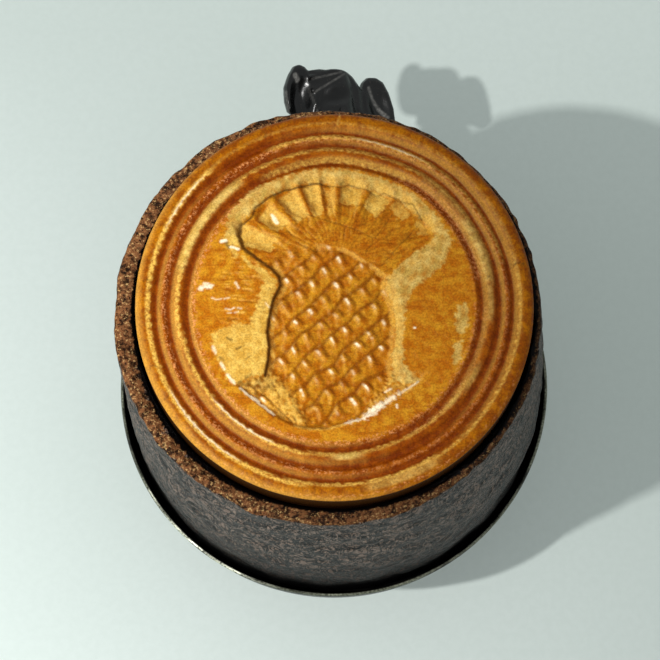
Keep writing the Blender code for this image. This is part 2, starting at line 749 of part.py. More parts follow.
def crown_flute(name, angle):
    """One gouge cut of the crown: a spindle that runs out to a scallop."""
    centre = print_place(CROWN_CENTRE_SHARES)
    reach_x = CROWN_SIZE_SHARES[0] * PRINT_RADIUS * math.cos(angle)
    reach_y = CROWN_SIZE_SHARES[1] * PRINT_RADIUS * math.sin(angle)
    reach = math.hypot(reach_x, reach_y)
    heading = math.atan2(reach_y, reach_x)
    inner = reach * FLUTE_INNER_SHARE
    width = FLUTE_WIDTH_SHARE * reach * CROWN_SPREAD / FLUTE_COUNT
    shape = bmesh.new()
    bmesh.ops.create_uvsphere(shape, u_segments=8, v_segments=6, radius=1.0)
    along = Matrix.Rotation(math.radians(90), 4, "Y")
    bmesh.ops.transform(shape, matrix=along, verts=shape.verts)
    size = Matrix.Diagonal((0.5 * (reach - inner) + width, width, 2.0 * FLUTE_DEPTH, 1.0))
    bmesh.ops.transform(shape, matrix=size, verts=shape.verts)
    mesh = bpy.data.meshes.new(name)
    shape.to_mesh(mesh)
    shape.free()
    flute = add_cutter(name, mesh)
    middle = 0.5 * (reach + inner)
    spot = centre + Vector((middle * math.cos(heading), middle * math.sin(heading), 0.0))
    spot.z = FIELD_HEIGHT - MOTIF_DEPTH + FLUTE_DEPTH
    flute.matrix_world = Matrix.Translation(spot) @ Matrix.Rotation(heading, 4, "Z")
    return flute


def build_print():
    """The carved print: turned rings round a sunk, hatched and fluted motif."""
    profile = [(0.0, FIELD_HEIGHT)]
    for radius_share, depth_share in reversed(RING_SHARES):
        profile.append((PRINT_RADIUS * radius_share, PRINT_TOP - RING_DEPTH * depth_share))
    profile.append((PRINT_RADIUS, PRINT_BASE + PRINT_BACK_ROUND))
    profile.append((PRINT_RADIUS - PRINT_BACK_ROUND, PRINT_BASE))
    profile.append((0.0, PRINT_BASE))
    disc = add_part("print_disc", turned_mesh("print_disc", profile), (0.62, 0.30, 0.06), 0.3)
    turn(disc, FINE_STEPS)
    tenon_top = ROD_SHOULDER + ROD_TENON_LENGTH + SEAT_GAP
    socket = round_cutter(
        "print_socket", ROD_TENON_RADIUS + SEAT_GAP, PRINT_BASE - CUT_OVERRUN, tenon_top, MEDIUM_STEPS
    )
    boolean(disc, socket)
    boolean(disc, motif_pocket())
    centre = print_place(BULB_CENTRE_SHARES)
    reach = int(BULB_SIZE_SHARES[1] * PRINT_RADIUS / HATCH_PITCH)
    for family, turn_angle in enumerate(BULB_HATCH_TURNS):
        for i in range(-reach, reach + 1):
            groove = hatch_groove(f"hatch_{family}_{i + reach}", centre, turn_angle, i * HATCH_PITCH)
            if groove:
                boolean(disc, groove)
    for i in range(FLUTE_COUNT):
        angle = math.radians(90) + CROWN_SPREAD * ((i + 0.5) / FLUTE_COUNT - 0.5)
        boolean(disc, crown_flute(f"crown_flute_{i}", angle))


def side_frame():
    """A place that turns an outline in (outward, upward) to stand behind the case."""
    return Matrix(((0.0, 0.0, 1.0, 0.0), (1.0, 0.0, 0.0, 0.0), (0.0, 1.0, 0.0, 0.0), (0.0, 0.0, 0.0, 1.0)))


def soften(part, width, segments=2):
    """Round the sharp edges of a part."""
    edge = part.modifiers.new("Edges", "BEVEL")
    edge.width = width
    edge.segments = segments
    edge.limit_method = "ANGLE"
    edge.angle_limit = math.radians(40)
    return part


def build_arm():
    """The cast arm under the pan, with the boss that guides the wing screw."""
    top = PAN_BASE - SEAT_GAP
    low = top - ARM_THICKNESS
    outer = ARM_FACE + ARM_THICKNESS
    boss_middle = 0.5 * (BOSS_FACE + BOSS_BACK)
    boss_low = SCREW_AXIS_HEIGHT - BOSS_RADIUS
    corner = ARM_THICKNESS
    outline = [(ARM_START, top), (ARM_START, low), (outer - corner, low)]
    outline += arc((outer - corner, low + corner), corner, -90, 0, 4)[1:]
    outline += [
        (outer, PAN_RIM - corner),
        (BOSS_BACK - ARM_EDGE_ROUND, boss_low),
        (boss_middle, SCREW_AXIS_HEIGHT + 0.5 * BOSS_RADIUS),
        (BOSS_FACE + ARM_EDGE_ROUND, boss_low),
        (ARM_FACE, PAN_RIM - corner),
        (ARM_FACE, top + ARM_PAN_CLEARANCE),
        (ARM_FACE - ARM_PAN_CLEARANCE, top),
    ]
    arm = add_part("clamp_arm", flat_mesh("clamp_arm", outline, ARM_WIDTH), (0.02, 0.02, 0.022), 0.4, 0.5)
    arm.matrix_world = side_frame()
    soften(arm, ARM_EDGE_ROUND)
    rib = add_cutter(
        "arm_rib",
        flat_mesh(
            "arm_rib",
            [
                (outer - SEAT_GAP, low + corner),
                (outer + ARM_RIB_WIDTH, PAN_RIM - corner),
                (BOSS_BACK - SEAT_GAP, boss_low),
                (boss_middle, SCREW_AXIS_HEIGHT - 0.5 * BOSS_RADIUS),
                (outer - 0.5 * ARM_THICKNESS, low + corner),
            ],
            ARM_RIB_WIDTH,
        ),
    )
    rib.matrix_world = side_frame()
    boolean(arm, rib, "UNION")
    outward = screw_frame()
    boss = round_cutter("arm_boss", BOSS_RADIUS, BOSS_FACE, BOSS_BACK, SMALL_STEPS)
    boss.matrix_world = outward
    soften(boss, ARM_EDGE_ROUND)
    boolean(arm, boss, "UNION")
    bore = round_cutter(
        "arm_bore", SCREW_RADIUS + SCREW_BORE_CLEARANCE, BOSS_FACE - BOSS_LENGTH, BOSS_BACK + BOSS_LENGTH
    )
    bore.matrix_world = outward
    boolean(arm, bore)
    holes = bar_group(
        "arm_rivet_holes",
        rod_profile(RIVET_RADIUS + SEAT_GAP, low - CUT_OVERRUN, top + CUT_OVERRUN),
        rivet_places(),
    )
    boolean(arm, add_cutter("arm_rivet_holes", holes))
    head_low = low - SEAT_GAP
    head_high = PAN_FLOOR + SEAT_GAP
    profile = [
        (0.0, head_high + RIVET_HEAD_HEIGHT),
        (0.7 * RIVET_HEAD_RADIUS, head_high + 0.7 * RIVET_HEAD_HEIGHT),
        (RIVET_HEAD_RADIUS, head_high),
        (RIVET_RADIUS, head_high),
        (RIVET_RADIUS, head_low),
        (RIVET_HEAD_RADIUS, head_low),
        (0.7 * RIVET_HEAD_RADIUS, head_low - 0.7 * RIVET_HEAD_HEIGHT),
        (0.0, head_low - RIVET_HEAD_HEIGHT),
    ]
    add_copies("arm_rivet", profile, rivet_places(), (0.02, 0.02, 0.022), 0.4, 0.5)


def screw_frame():
    """The wing screw's axis: local Z points straight out behind the case."""
    return Matrix.Translation((0.0, 0.0, SCREW_AXIS_HEIGHT)) @ Matrix.Rotation(math.radians(-90), 4, "X")


def on_screw_axis(part, axis):
    """Hang a piece on the wing screw's axis."""
    part.parent = axis
    return part


def build_pad(axis):
    """The swivel pad and its leather facing."""
    facing = add_part(
        "pad_facing",
        turned_mesh("pad_facing", rod_profile(PAD_RADIUS, FACING_FACE, FACING_FACE + FACING_THICKNESS)),
        (0.12, 0.07, 0.04),
        0.8,
    )
    on_screw_axis(turn(facing, SMALL_STEPS), axis)
    socket = SCREW_RADIUS + SEAT_GAP
    bottom = PAD_BACK - PAD_SOCKET_DEPTH
    profile = [
        (0.0, bottom),
        (socket, bottom),
        (socket, PAD_BACK),
        (socket + SCREW_RADIUS * 0.4, PAD_BACK),
        (PAD_RADIUS, PAD_FACE + 0.4 * PAD_THICKNESS),
        (PAD_RADIUS, PAD_FACE),
        (0.0, PAD_FACE),
    ]
    pad = add_part("clamp_pad", turned_mesh("clamp_pad", profile), (0.03, 0.03, 0.032), 0.4, 0.7)
    on_screw_axis(turn(pad, MEDIUM_STEPS), axis)


def wing_outline(foot_share):
    """One wing, from the hub's foot out to its blunt tip, as (radius, height)."""
    tip = (WING_SPAN - WING_TIP_RADIUS, WING_REACH - WING_TIP_RADIUS)
    foot = WING_SPAN * foot_share
    valley = 0.69 * HUB_LENGTH
    outline = [
        (0.0, 0.04 * HUB_LENGTH),
        (0.80 * foot, 0.04 * HUB_LENGTH),
        (0.97 * foot, 0.11 * HUB_LENGTH),
        (foot, 0.21 * HUB_LENGTH),
        (0.5 * (foot + WING_SPAN), 0.46 * HUB_LENGTH),
    ]
    outline += arc(tip, WING_TIP_RADIUS, 0, 180, 8)
    outline += [
        (tip[0] - WING_TIP_RADIUS, valley),
        (0.0, valley),
    ]
    return outline


def build_wing_screw(axis):
    """The wing screw: a cast head pinned to a plain shank."""
    profile = [(0.0, HUB_LENGTH)]
    profile += [(HUB_RADIUS * wide, HUB_LENGTH * (1.0 - down)) for down, wide in HUB_SHARES]
    profile.append((0.0, 0.0))
    head = add_part("wing_head", turned_mesh("wing_head", profile), (0.015, 0.015, 0.017), 0.3, 0.5)
    turn(head, SMALL_STEPS)
    on_screw_axis(head, axis)
    head.location = (0.0, 0.0, HUB_BASE)
    head.rotation_euler = (0.0, 0.0, WING_TILT)
    flat = Matrix.Rotation(math.radians(90), 4, "X")
    for i, foot_share in enumerate(WING_FOOT_SHARES):
        wing = add_cutter(f"wing_{i}", flat_mesh(f"wing_{i}", wing_outline(foot_share), WING_THICKNESS))
        wing.parent = head
        wing.matrix_local = Matrix.Rotation(math.pi * (1 - i), 4, "Z") @ flat
        soften(wing, WING_EDGE_ROUND, 3)
        boolean(head, wing, "UNION")
    shank_end = 0.75 * HUB_LENGTH
    bore = round_cutter("hub_bore", SCREW_RADIUS + SEAT_GAP, -CUT_OVERRUN, shank_end + SEAT_GAP)
    bore.parent = head
    boolean(head, bore)
    pin_height = 0.20 * HUB_LENGTH
    reach = HUB_RADIUS
    pin_cutter = round_cutter("wing_pin_hole", WING_PIN_RADIUS + SEAT_GAP, -2.0 * reach, 2.0 * reach)
    pin_cutter.parent = head
    pin_cutter.location = (0.0, 0.0, pin_height)
    pin_cutter.rotation_euler = (math.radians(90), 0.0, 0.0)
    boolean(head, pin_cutter)
    top = HUB_BASE + shank_end
    chamfer = 0.2 * SCREW_RADIUS
    profile = [
        (0.0, top),
        (SCREW_RADIUS - chamfer, top),
        (SCREW_RADIUS, top - chamfer),
        (SCREW_RADIUS, SCREW_TIP + chamfer),
        (SCREW_RADIUS - chamfer, SCREW_TIP),
        (0.0, SCREW_TIP),
    ]
    shank = add_part("screw_shank", turned_mesh("screw_shank", profile), (0.25, 0.24, 0.23), 0.35, 1.0)
    on_screw_axis(turn(shank, SMALL_STEPS), axis)
    boolean(shank, pin_cutter)
    pin = add_part(
        "wing_pin",
        turned_mesh("wing_pin", rod_profile(WING_PIN_RADIUS, -reach, reach)),
        (0.25, 0.24, 0.23),
        0.35,
        1.0,
    )
    turn(pin, BRAD_STEPS)
    on_screw_axis(pin, axis)
    pin.matrix_local = (
        Matrix.Translation((0.0, 0.0, HUB_BASE + pin_height))
        @ Matrix.Rotation(WING_TILT, 4, "Z")
        @ Matrix.Rotation(math.radians(90), 4, "X")
    )


def build():
    """Make every piece of the mold."""
    build_handle()
    build_rod()
    build_print()
    build_pan()
    build_case()
    build_floor()
    build_arm()
    axis = bpy.data.objects.new("screw_axis", None)
    PARTS.objects.link(axis)
    axis.matrix_world = screw_frame()
    build_pad(axis)
    build_wing_screw(axis)


build()
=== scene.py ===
"""Looks of the butter mold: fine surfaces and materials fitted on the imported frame."""
import math

import bmesh
import bpy
import numpy as np
from mathutils import Matrix, Vector


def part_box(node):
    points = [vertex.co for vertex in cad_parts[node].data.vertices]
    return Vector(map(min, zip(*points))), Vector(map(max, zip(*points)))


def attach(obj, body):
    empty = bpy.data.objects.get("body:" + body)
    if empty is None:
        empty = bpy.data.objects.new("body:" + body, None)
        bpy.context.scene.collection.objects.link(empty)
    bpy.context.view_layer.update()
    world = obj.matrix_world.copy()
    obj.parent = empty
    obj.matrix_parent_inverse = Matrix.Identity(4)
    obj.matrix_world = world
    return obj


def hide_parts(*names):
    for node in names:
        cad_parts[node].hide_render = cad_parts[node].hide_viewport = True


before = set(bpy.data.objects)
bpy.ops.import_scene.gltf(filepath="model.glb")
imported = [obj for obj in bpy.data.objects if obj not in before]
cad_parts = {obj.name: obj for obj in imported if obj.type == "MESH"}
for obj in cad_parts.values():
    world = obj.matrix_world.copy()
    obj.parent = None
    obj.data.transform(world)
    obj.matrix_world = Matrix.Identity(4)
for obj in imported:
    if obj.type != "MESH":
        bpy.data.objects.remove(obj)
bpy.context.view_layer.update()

MM = 0.001
TAU = 2.0 * math.pi
FAR = 1e9
ROUNDING = 1e-6


# Sizes in mm, from the frame where a node gives them


def turned_size(node):
    """Radius, foot and top of a turned node."""
    low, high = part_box(node)
    return tuple(round(value / MM, 2) for value in (high[0], low[2], high[2]))


PRINT_RADIUS, PRINT_BASE, PRINT_TOP = turned_size("print_disc")
CASE_RADIUS, CASE_BASE, CASE_TOP = turned_size("case_barrel")
FLOOR_TOP = turned_size("case_floor")[2]
PAN_RADIUS, PAN_BASE = turned_size("drip_pan")[:2]
HANDLE_RADIUS, HANDLE_BASE, HANDLE_TOP = turned_size("handle_grip")
ROD_RADIUS, ROD_BASE, ROD_TOP = turned_size("plunger_rod")

SEAT_GAP = 0.3
BORE_RADIUS = 51.0
RIM_RADIUS = BORE_RADIUS + 4.0
RABBET_RADIUS = BORE_RADIUS + 2.0
BAND_TOP = 78.5
PAN_TOP = PAN_BASE + 14.0
TENON_RADIUS = ROD_RADIUS - 2.5


# Small tools


def limit(value):
    return np.clip(value, 0.0, 1.0)


def smooth_step(value):
    value = limit(value)
    return value * value * (3.0 - 2.0 * value)


def ripple(points, seed, wavelength):
    """Smooth seeded noise of about unit spread at each row of points."""
    count = 24
    rng = np.random.default_rng(seed)
    waves = rng.normal(size=(count, points.shape[1]))
    waves /= np.linalg.norm(waves, axis=1)[:, None]
    waves *= TAU / (wavelength * rng.uniform(0.6, 1.6, count))[:, None]
    phase = rng.uniform(0.0, TAU, count)
    total = np.zeros(len(points))
    for wave, start in zip(waves, phase):
        total += np.sin(points @ wave + start)
    return total * math.sqrt(2.0 / count)


def blur(field, sigma):
    """Gaussian blur of a 2D array, sigma in cells."""
    reach = max(1, int(3.0 * sigma))
    line = np.exp(-0.5 * (np.arange(-reach, reach + 1) / sigma) ** 2)
    line /= line.sum()
    for turn in range(2):
        padded = np.pad(field, [(reach, reach), (0, 0)], mode="edge")
        field = sum(weight * padded[i:i + len(field)] for i, weight in enumerate(line)).T
    return field


def segment_distance(px, py, start, end):
    """Distance from places to the straight line between two points."""
    ex, ey = end[0] - start[0], end[1] - start[1]
    wx, wy = px - start[0], py - start[1]
    share = limit((wx * ex + wy * ey) / (ex * ex + ey * ey))
    return np.hypot(wx - ex * share, wy - ey * share)


def line_distance(px, py, points):
    """Distance to an open line of points."""
    return np.minimum.reduce([segment_distance(px, py, a, b) for a, b in zip(points, points[1:])])


def polygon_distance(px, py, outline):
    """Signed distance to a polygon, negative inside."""
    closed = [*outline, outline[0]]
    inside = np.zeros(px.shape, bool)
    for (ax, ay), (bx, by) in zip(closed, closed[1:]):
        if ay != by:
            crosses = (ay > py) != (by > py)
            inside ^= crosses & (px < ax + (py - ay) * (bx - ax) / (by - ay))
    distance = line_distance(px, py, closed)
    return np.where(inside, -distance, distance)


def circle(steps):
    angles = np.arange(steps) * TAU / steps
    return np.stack([np.cos(angles), np.sin(angles)], 1)


def level_ring(radius, height, steps):
    return np.column_stack([radius * circle(steps), np.full(steps, height)])


def round_corner(centre, radius, start, end, count):
    """An arc's points, from one angle in degrees to another."""
    turns = [math.radians(start + (end - start) * i / count) for i in range(count + 1)]
    return [(centre[0] + radius * math.cos(t), centre[1] + radius * math.sin(t)) for t in turns]


def faces_between(a, low, b, high):
    """Faces from a ring of low points at index a to one of high at b: as many, double or half."""
    i = np.arange(min(low, high))
    j = (i + 1) % len(i)
    if low == high:
        return [np.stack([a + i, a + j, b + j, b + i], 1)]
    if high == 2 * low:
        return [
            np.stack([a + i, b + 2 * i + 1, b + 2 * i], 1),
            np.stack([a + i, a + j, b + 2 * i + 1], 1),
            np.stack([a + j, b + 2 * j, b + 2 * i + 1], 1),
        ]
    return [
        np.stack([b + i, a + 2 * i, a + 2 * i + 1], 1),
        np.stack([b + i, a + 2 * i + 1, b + j], 1),
        np.stack([b + j, a + 2 * i + 1, a + 2 * j], 1),
    ]


def mesh_from_rings(name, rings, first=None, last=None, flip=False):
    """A surface through rings of points in mm, closed by hubs on the axis at the heights first and last."""
    counts = [len(ring) for ring in rings]
    firsts = np.cumsum([0] + counts)
    groups = []
    for k in range(len(rings) - 1):
        groups += faces_between(firsts[k], counts[k], firsts[k + 1], counts[k + 1])
    points = np.concatenate(rings)
    for height, place, outward in ((first, 0, False), (last, -1, True)):
        if height is None:
            continue
        i = np.arange(counts[place])
        pair = (i, (i + 1) % len(i)) if outward else ((i + 1) % len(i), i)
        start = firsts[:-1][place]
        groups.append(np.stack([start + pair[0], start + pair[1], np.full(len(i), len(points))], 1))
        points = np.concatenate([points, [(0.0, 0.0, height)]])
    groups.sort(key=lambda group: -group.shape[1])
    faces = [face[::-1] if flip else face for group in groups for face in group.tolist()]
    mesh = bpy.data.meshes.new(name)
    mesh.from_pydata((points * MM).tolist(), [], faces)
    mesh.validate()
    mesh.update()
    mesh.shade_smooth()
    return mesh, points


def lathe(name, profile, steps, fine=math.inf, warp=None):
    """A turned solid from (radius, height) points in mm, outside first, going down.

    A profile that starts on the axis ends there too, and any other one is closed.
    """
    closed = profile[0][0] > 0.0
    corners = [*profile, profile[0]] if closed else profile
    places = []
    for (r0, z0), (r1, z1) in zip(corners, corners[1:]):
        parts = max(1, math.ceil(math.hypot(r1 - r0, z1 - z0) / fine - ROUNDING))
        shares = np.arange(parts) / parts
        places += zip(r0 + (r1 - r0) * shares, z0 + (z1 - z0) * shares)
    places.append(corners[-1])
    rings = [level_ring(r, z, steps) for r, z in places if r > 0.0]
    if warp is not None:
        rings = [warp(ring) for ring in rings]
    ends = () if closed else (places[0][1], places[-1][1])
    mesh, points = mesh_from_rings(name, rings, *ends, flip=True)
    if closed:
        shape = bmesh.new()
        shape.from_mesh(mesh)
        bmesh.ops.remove_doubles(shape, verts=shape.verts, dist=1e-7)
        shape.to_mesh(mesh)
        shape.free()
    return mesh


def link(name, data):
    """A new object in the scene."""
    thing = bpy.data.objects.new(name, data)
    bpy.context.scene.collection.objects.link(thing)
    return thing


def add_piece(mesh, body, material, node, sharp=None):
    """A piece that stands for a CAD node. Edges over the angle sharp, in degrees, stay sharp."""
    mesh.materials.append(material)
    if sharp is not None:
        mesh.set_sharp_from_angle(angle=math.radians(sharp))
    piece = link(mesh.name, mesh)
    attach(piece, body)
    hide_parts(node)


def store(mesh, name, values):
    """A number for each of a mesh's points, for its material to read."""
    layer = mesh.attributes.new(name, "FLOAT", "POINT")
    layer.data.foreach_set("value", values.astype(np.float32))


# Materials


def srgb(colour):
    """The linear form of an 8-bit sRGB colour."""
    shares = [value / 255.0 for value in colour]
    return tuple(s / 12.92 if s <= 0.04045 else ((s + 0.055) / 1.055) ** 2.4 for s in shares)


class Nodes:
    """A short way to write a material's nodes. A plain colour is written in 8-bit sRGB."""

    def __init__(self, name):
        self.material = bpy.data.materials.new(name)
        self.material.use_nodes = True
        self.tree = self.material.node_tree
        self.shader = self.tree.nodes["Principled BSDF"]
        self.place = self.tree.nodes.new("ShaderNodeTexCoord").outputs["Object"]

    def put(self, socket, value):
        if hasattr(value, "is_output"):
            self.tree.links.new(value, socket)
        else:
            socket.default_value = value

    def add(self, kind, sockets, **settings):
        """A new node's outputs. The sockets are given by name or number."""
        node = self.tree.nodes.new(kind)
        for key, value in settings.items():
            setattr(node, key, value)
        for key, value in sockets.items():
            self.put(node.inputs[key], value)
        return node.outputs

    def math(self, operation, a, b=0.0):
        return self.add("ShaderNodeMath", {0: a, 1: b}, operation=operation)[0]

    def times(self, total, *others):
        for other in others:
            total = self.math("MULTIPLY", total, other)
        return total

    def plus(self, total, *others):
        for other in others:
            total = self.math("ADD", total, other)
        return total

    def middle(self, value):
        """How far a noise is from its middle."""
        return self.math("ABSOLUTE", self.math("SUBTRACT", value, 0.5))

    def mix(self, share, a, b):
        a, b = ((*srgb(colour), 1.0) if isinstance(colour, tuple) else colour for colour in (a, b))
        return self.add("ShaderNodeMix", {0: share, 6: a, 7: b}, data_type="RGBA", clamp_factor=True)[2]

    def ramp(self, value, low, high, to_low=0.0, to_high=1.0):
        sockets = {"Value": value, "From Min": low, "From Max": high, "To Min": to_low, "To Max": to_high}
        return self.add("ShaderNodeMapRange", sockets, interpolation_type="SMOOTHSTEP", clamp=True)["Result"]

    def stretch(self, scale, turn=0.0):
        sockets = {"Vector": self.place, "Scale": scale, "Rotation": (0.0, 0.0, turn)}
        return self.add("ShaderNodeMapping", sockets)["Vector"]

    def noise(self, scale, detail, rough, vector=None, warp=0.0):
        sockets = {"Scale": scale, "Detail": detail, "Roughness": rough, "Distortion": warp}
        sockets["Vector"] = vector or self.place
        return self.add("ShaderNodeTexNoise", sockets)["Fac"]

    def pebbles(self, scale):
        sockets = {"Vector": self.place, "Scale": scale}
        return self.add("ShaderNodeTexVoronoi", sockets, feature="SMOOTH_F1")["Distance"]

    def attribute(self, name):
        return self.add("ShaderNodeAttribute", {}, attribute_name=name)["Fac"]

    def gain(self, colour, level):
        return self.add("ShaderNodeVectorMath", {0: colour, "Scale": level}, operation="SCALE")[0]

    def axes(self):
        return tuple(self.add("ShaderNodeSeparateXYZ", {0: self.place}))

    def radius(self, x, y):
        return self.math("SQRT", self.plus(self.times(x, x), self.times(y, y)))

    def bump(self, height, strength, distance):
        sockets = {"Strength": strength, "Distance": distance, "Height": height}
        return self.add("ShaderNodeBump", sockets)["Normal"]

    def finish(self, colour, roughness, normal=None, metallic=0.0, coat=0.0, coat_rough=0.1, specular=0.5):
        self.put(self.shader.inputs["Base Color"], colour)
        self.put(self.shader.inputs["Roughness"], roughness)
        self.put(self.shader.inputs["Metallic"], metallic)
        self.shader.inputs["Coat Weight"].default_value = coat
        self.shader.inputs["Coat Roughness"].default_value = coat_rough
        self.shader.inputs["Specular IOR Level"].default_value = specular
        if normal is not None:
            self.put(self.shader.inputs["Normal"], normal)
        return self.material


def print_wood():
    """Amber varnish over carved wood, pale where tools or use have bared it, with painted light, shade and
    highlights from the face's masks.
    """
    n = Nodes("print_wood")
    x, y, z = n.axes()
    mottle = n.noise(420.0, 4.0, 0.6)
    broad = n.noise(75.0, 3.0, 0.5)
    grain = n.noise(1900.0, 3.0, 0.75)
    speck = n.noise(1250.0, 3.0, 0.75)
    streak = n.noise(300.0, 3.0, 0.6, vector=n.stretch((0.3, 3.0, 1.0), 0.12))

    amber = n.mix(n.ramp(mottle, 0.34, 0.68), (170, 94, 4), (200, 138, 28))
    amber = n.mix(n.ramp(broad, 0.42, 0.75, 0.0, 0.5), amber, (174, 92, 3))
    amber = n.mix(n.ramp(streak, 0.55, 0.68, 0.0, 0.42), amber, (146, 70, 2))
    turned = n.mix(n.ramp(mottle, 0.35, 0.68), (130, 57, 0), (158, 84, 3))
    valley = n.mix(n.ramp(mottle, 0.35, 0.68), (112, 43, 0), (138, 64, 1))
    bead = n.mix(n.ramp(mottle, 0.36, 0.66), (134, 66, 0), (168, 100, 2))
    bare = n.mix(n.ramp(mottle, 0.36, 0.66), (198, 148, 56), (222, 180, 86))
    bare = n.mix(n.ramp(speck, 0.58, 0.68, 0.0, 0.45), bare, (176, 128, 56))
    dull = n.mix(n.ramp(mottle, 0.36, 0.66), (184, 146, 66), (216, 180, 100))
    dull = n.mix(n.ramp(speck, 0.57, 0.68, 0.0, 0.5), dull, (136, 100, 44))

    # Mask, how it is broken up, and its tone, from the lowest layer to the highest
    layers = (
        ("rings", 1.0, turned),
        ("valley", 1.0, valley),
        ("bead", 1.0, bead),
        # Bright: bared gouge ends and worn places, and painted highlights and light on edges, crests and
        # fibre tops
        ("bright", n.ramp(speck, 0.36, 0.60, 0.35, 1.0), (234, 186, 84)),
        ("chalk", n.ramp(speck, 0.46, 0.60), (210, 138, 82)),
        ("pale", 1.0, bare),
        # Pale ochre, and painted light on slopes that face the lamp
        ("dull", 1.0, dull),
        ("shade", 0.92, (104, 44, 0)),
        ("lit", 0.80, (246, 192, 86)),
        ("dark", 1.0, (72, 44, 10)),
        # White: chips, and painted glints and highlights
        ("white", 1.0, (255, 240, 208)),
    )
    colour = amber
    for mask, part, tone in layers:
        colour = n.mix(n.times(n.attribute(mask), part), colour, tone)

    # Painted light: paler to the left and front, towards the lamp, and dark on its side wall
    level = n.plus(1.0, n.plus(n.times(x, -6.5), n.times(y, -1.8)))
    colour = n.gain(colour, n.times(level, n.ramp(grain, 0.32, 0.68, 0.76, 1.25)))
    below = n.ramp(z, (PRINT_TOP - 2.5) * MM, (PRINT_TOP - 1.2) * MM, 1.0, 0.0)
    outside = n.ramp(n.radius(x, y), (PRINT_RADIUS - 0.6) * MM, (PRINT_RADIUS - 0.3) * MM)
    colour = n.mix(n.times(below, outside), colour, (58, 32, 8))

    normal = n.bump(n.plus(n.times(mottle, 0.5), n.times(speck, 0.55)), 0.55, 0.00035)
    rough = n.plus(n.ramp(speck, 0.3, 0.7, 0.36, 0.50), n.times(n.attribute("pale"), 0.15))
    return n.finish(colour, rough, normal, specular=0.07)


def case_varnish():
    """Black varnish, crackled on the wall and worn to brown wood on the rim, with painted sheen, light and
    shade.
    """
    n = Nodes("case_varnish")
    x, y, z = n.axes()
    mottle = n.noise(620.0, 4.0, 0.7)
    speck = n.noise(1250.0, 3.0, 0.8)

    wood = n.mix(n.ramp(mottle, 0.38, 0.60), (36, 19, 9), (124, 80, 48))
    # Painted glints: pale specks on the rim's wood
    wood = n.mix(n.ramp(speck, 0.56, 0.63, 0.0, 0.9), wood, (190, 152, 100))
    wood = n.mix(n.ramp(speck, 0.44, 0.37, 0.0, 0.9), wood, (22, 13, 8))
    # Painted shade: the rim's wood is darker to the right, away from the lamp
    wood = n.gain(wood, n.plus(0.85, n.plus(n.times(x, -11.0), n.times(y, 1.5))))

    # The varnish's crackle is taller than wide
    tall = n.stretch((1.0, 1.0, 0.46))
    worm = n.middle(n.noise(300.0, 3.0, 0.6, vector=tall, warp=1.2))
    finer = n.middle(n.noise(640.0, 2.0, 0.5, vector=tall, warp=0.8))
    crackle = n.times(n.ramp(worm, 0.012, 0.085), n.ramp(finer, 0.004, 0.085))
    # Painted sheen: the black varnish is given grey tones and pale specks
    varnish = n.mix(n.ramp(n.noise(110.0, 3.0, 0.6, vector=tall), 0.35, 0.65), (96, 78, 69), (134, 112, 99))
    varnish = n.mix(n.ramp(speck, 0.42, 0.60, 0.0, 0.7), varnish, (176, 152, 136))
    # Painted shade: darker towards the foot
    varnish = n.mix(n.ramp(z, (PAN_TOP + 6.0) * MM, (PAN_TOP + 52.0) * MM), (62, 44, 37), varnish)
    varnish = n.mix(n.math("SUBTRACT", 1.0, crackle), varnish, (7, 5, 5))
    # Painted light: darker to the right, away from the lamp
    varnish = n.gain(varnish, n.plus(0.71, n.times(x, -3.0)))
    # Painted shade: black at the foot, down in the pan
    varnish = n.mix(n.ramp(z, PAN_TOP * MM, (PAN_TOP + 14.0) * MM), (4, 4, 4), varnish)

    # Wood shows where the rim is worn. Painted shade fills the mouth up to a ragged line, reaching further
    # out at the front left and right, where the gap round the print lies in shadow.
    ragged = n.times(n.noise(300.0, 3.0, 0.6), 0.0030)
    worn = n.ramp(n.plus(z, ragged), (CASE_TOP + 0.2) * MM, (CASE_TOP + 0.6) * MM)
    colour = n.mix(worn, varnish, wood)
    sideways = n.ramp(n.math("ABSOLUTE", x), 0.012, 0.040, 0.2, 1.0)
    in_front = n.times(n.ramp(y, -0.040, -0.012, 1.0, 0.0), sideways)
    edge = n.math("SUBTRACT", n.radius(x, y), n.plus(n.times(in_front, 0.0007), (BORE_RADIUS + 1.0) * MM))
    edge = n.plus(edge, n.times(n.math("SUBTRACT", mottle, 0.5), 0.0022))
    colour = n.mix(n.ramp(edge, 0.0, 0.0005), (5, 3, 3), colour)

    height = n.times(crackle, n.math("SUBTRACT", 1.0, worn), 0.5)
    height = n.plus(height, n.times(speck, 0.9), n.times(mottle, 0.9))
    normal = n.bump(height, 0.8, 0.00045)
    dull_foot = n.ramp(z, PAN_TOP * MM, (PAN_TOP + 15.0) * MM, 0.4, 0.0)
    rough = n.plus(n.ramp(speck, 0.35, 0.7, 0.34, 0.50), dull_foot)
    return n.finish(colour, rough, normal, specular=0.05)


def black_paint(name, tint=(12, 11, 11), rough=(0.20, 0.36), masked=False):
    """Black paint on a casting, a little uneven, with painted highlights and painted shade where its mesh has
    masks for that.
    """
    n = Nodes(name)
    patch = n.noise(160.0, 4.0, 0.6)
    fine = n.noise(1300.0, 3.0, 0.6)
    colour = n.mix(n.ramp(patch, 0.35, 0.7), tint, tuple(value + 12 for value in tint))
    colour = n.mix(n.ramp(fine, 0.62, 0.72, 0.0, 0.5), colour, (64, 56, 50))
    if masked:
        # Painted highlights where the casting's worn mask is set
        worn = n.times(n.attribute("worn"), n.ramp(fine, 0.40, 0.60, 0.5, 1.0))
        colour = n.mix(worn, colour, (146, 143, 138))
        # Painted shade in the pocket under the ribs
        colour = n.mix(n.attribute("pocket_shade"), colour, (1, 1, 1))
    normal = n.bump(n.plus(n.times(patch, 0.7), n.times(fine, 0.3)), 0.35, 0.0004)
    return n.finish(colour, n.ramp(patch, 0.3, 0.7, *rough), normal, specular=0.32)


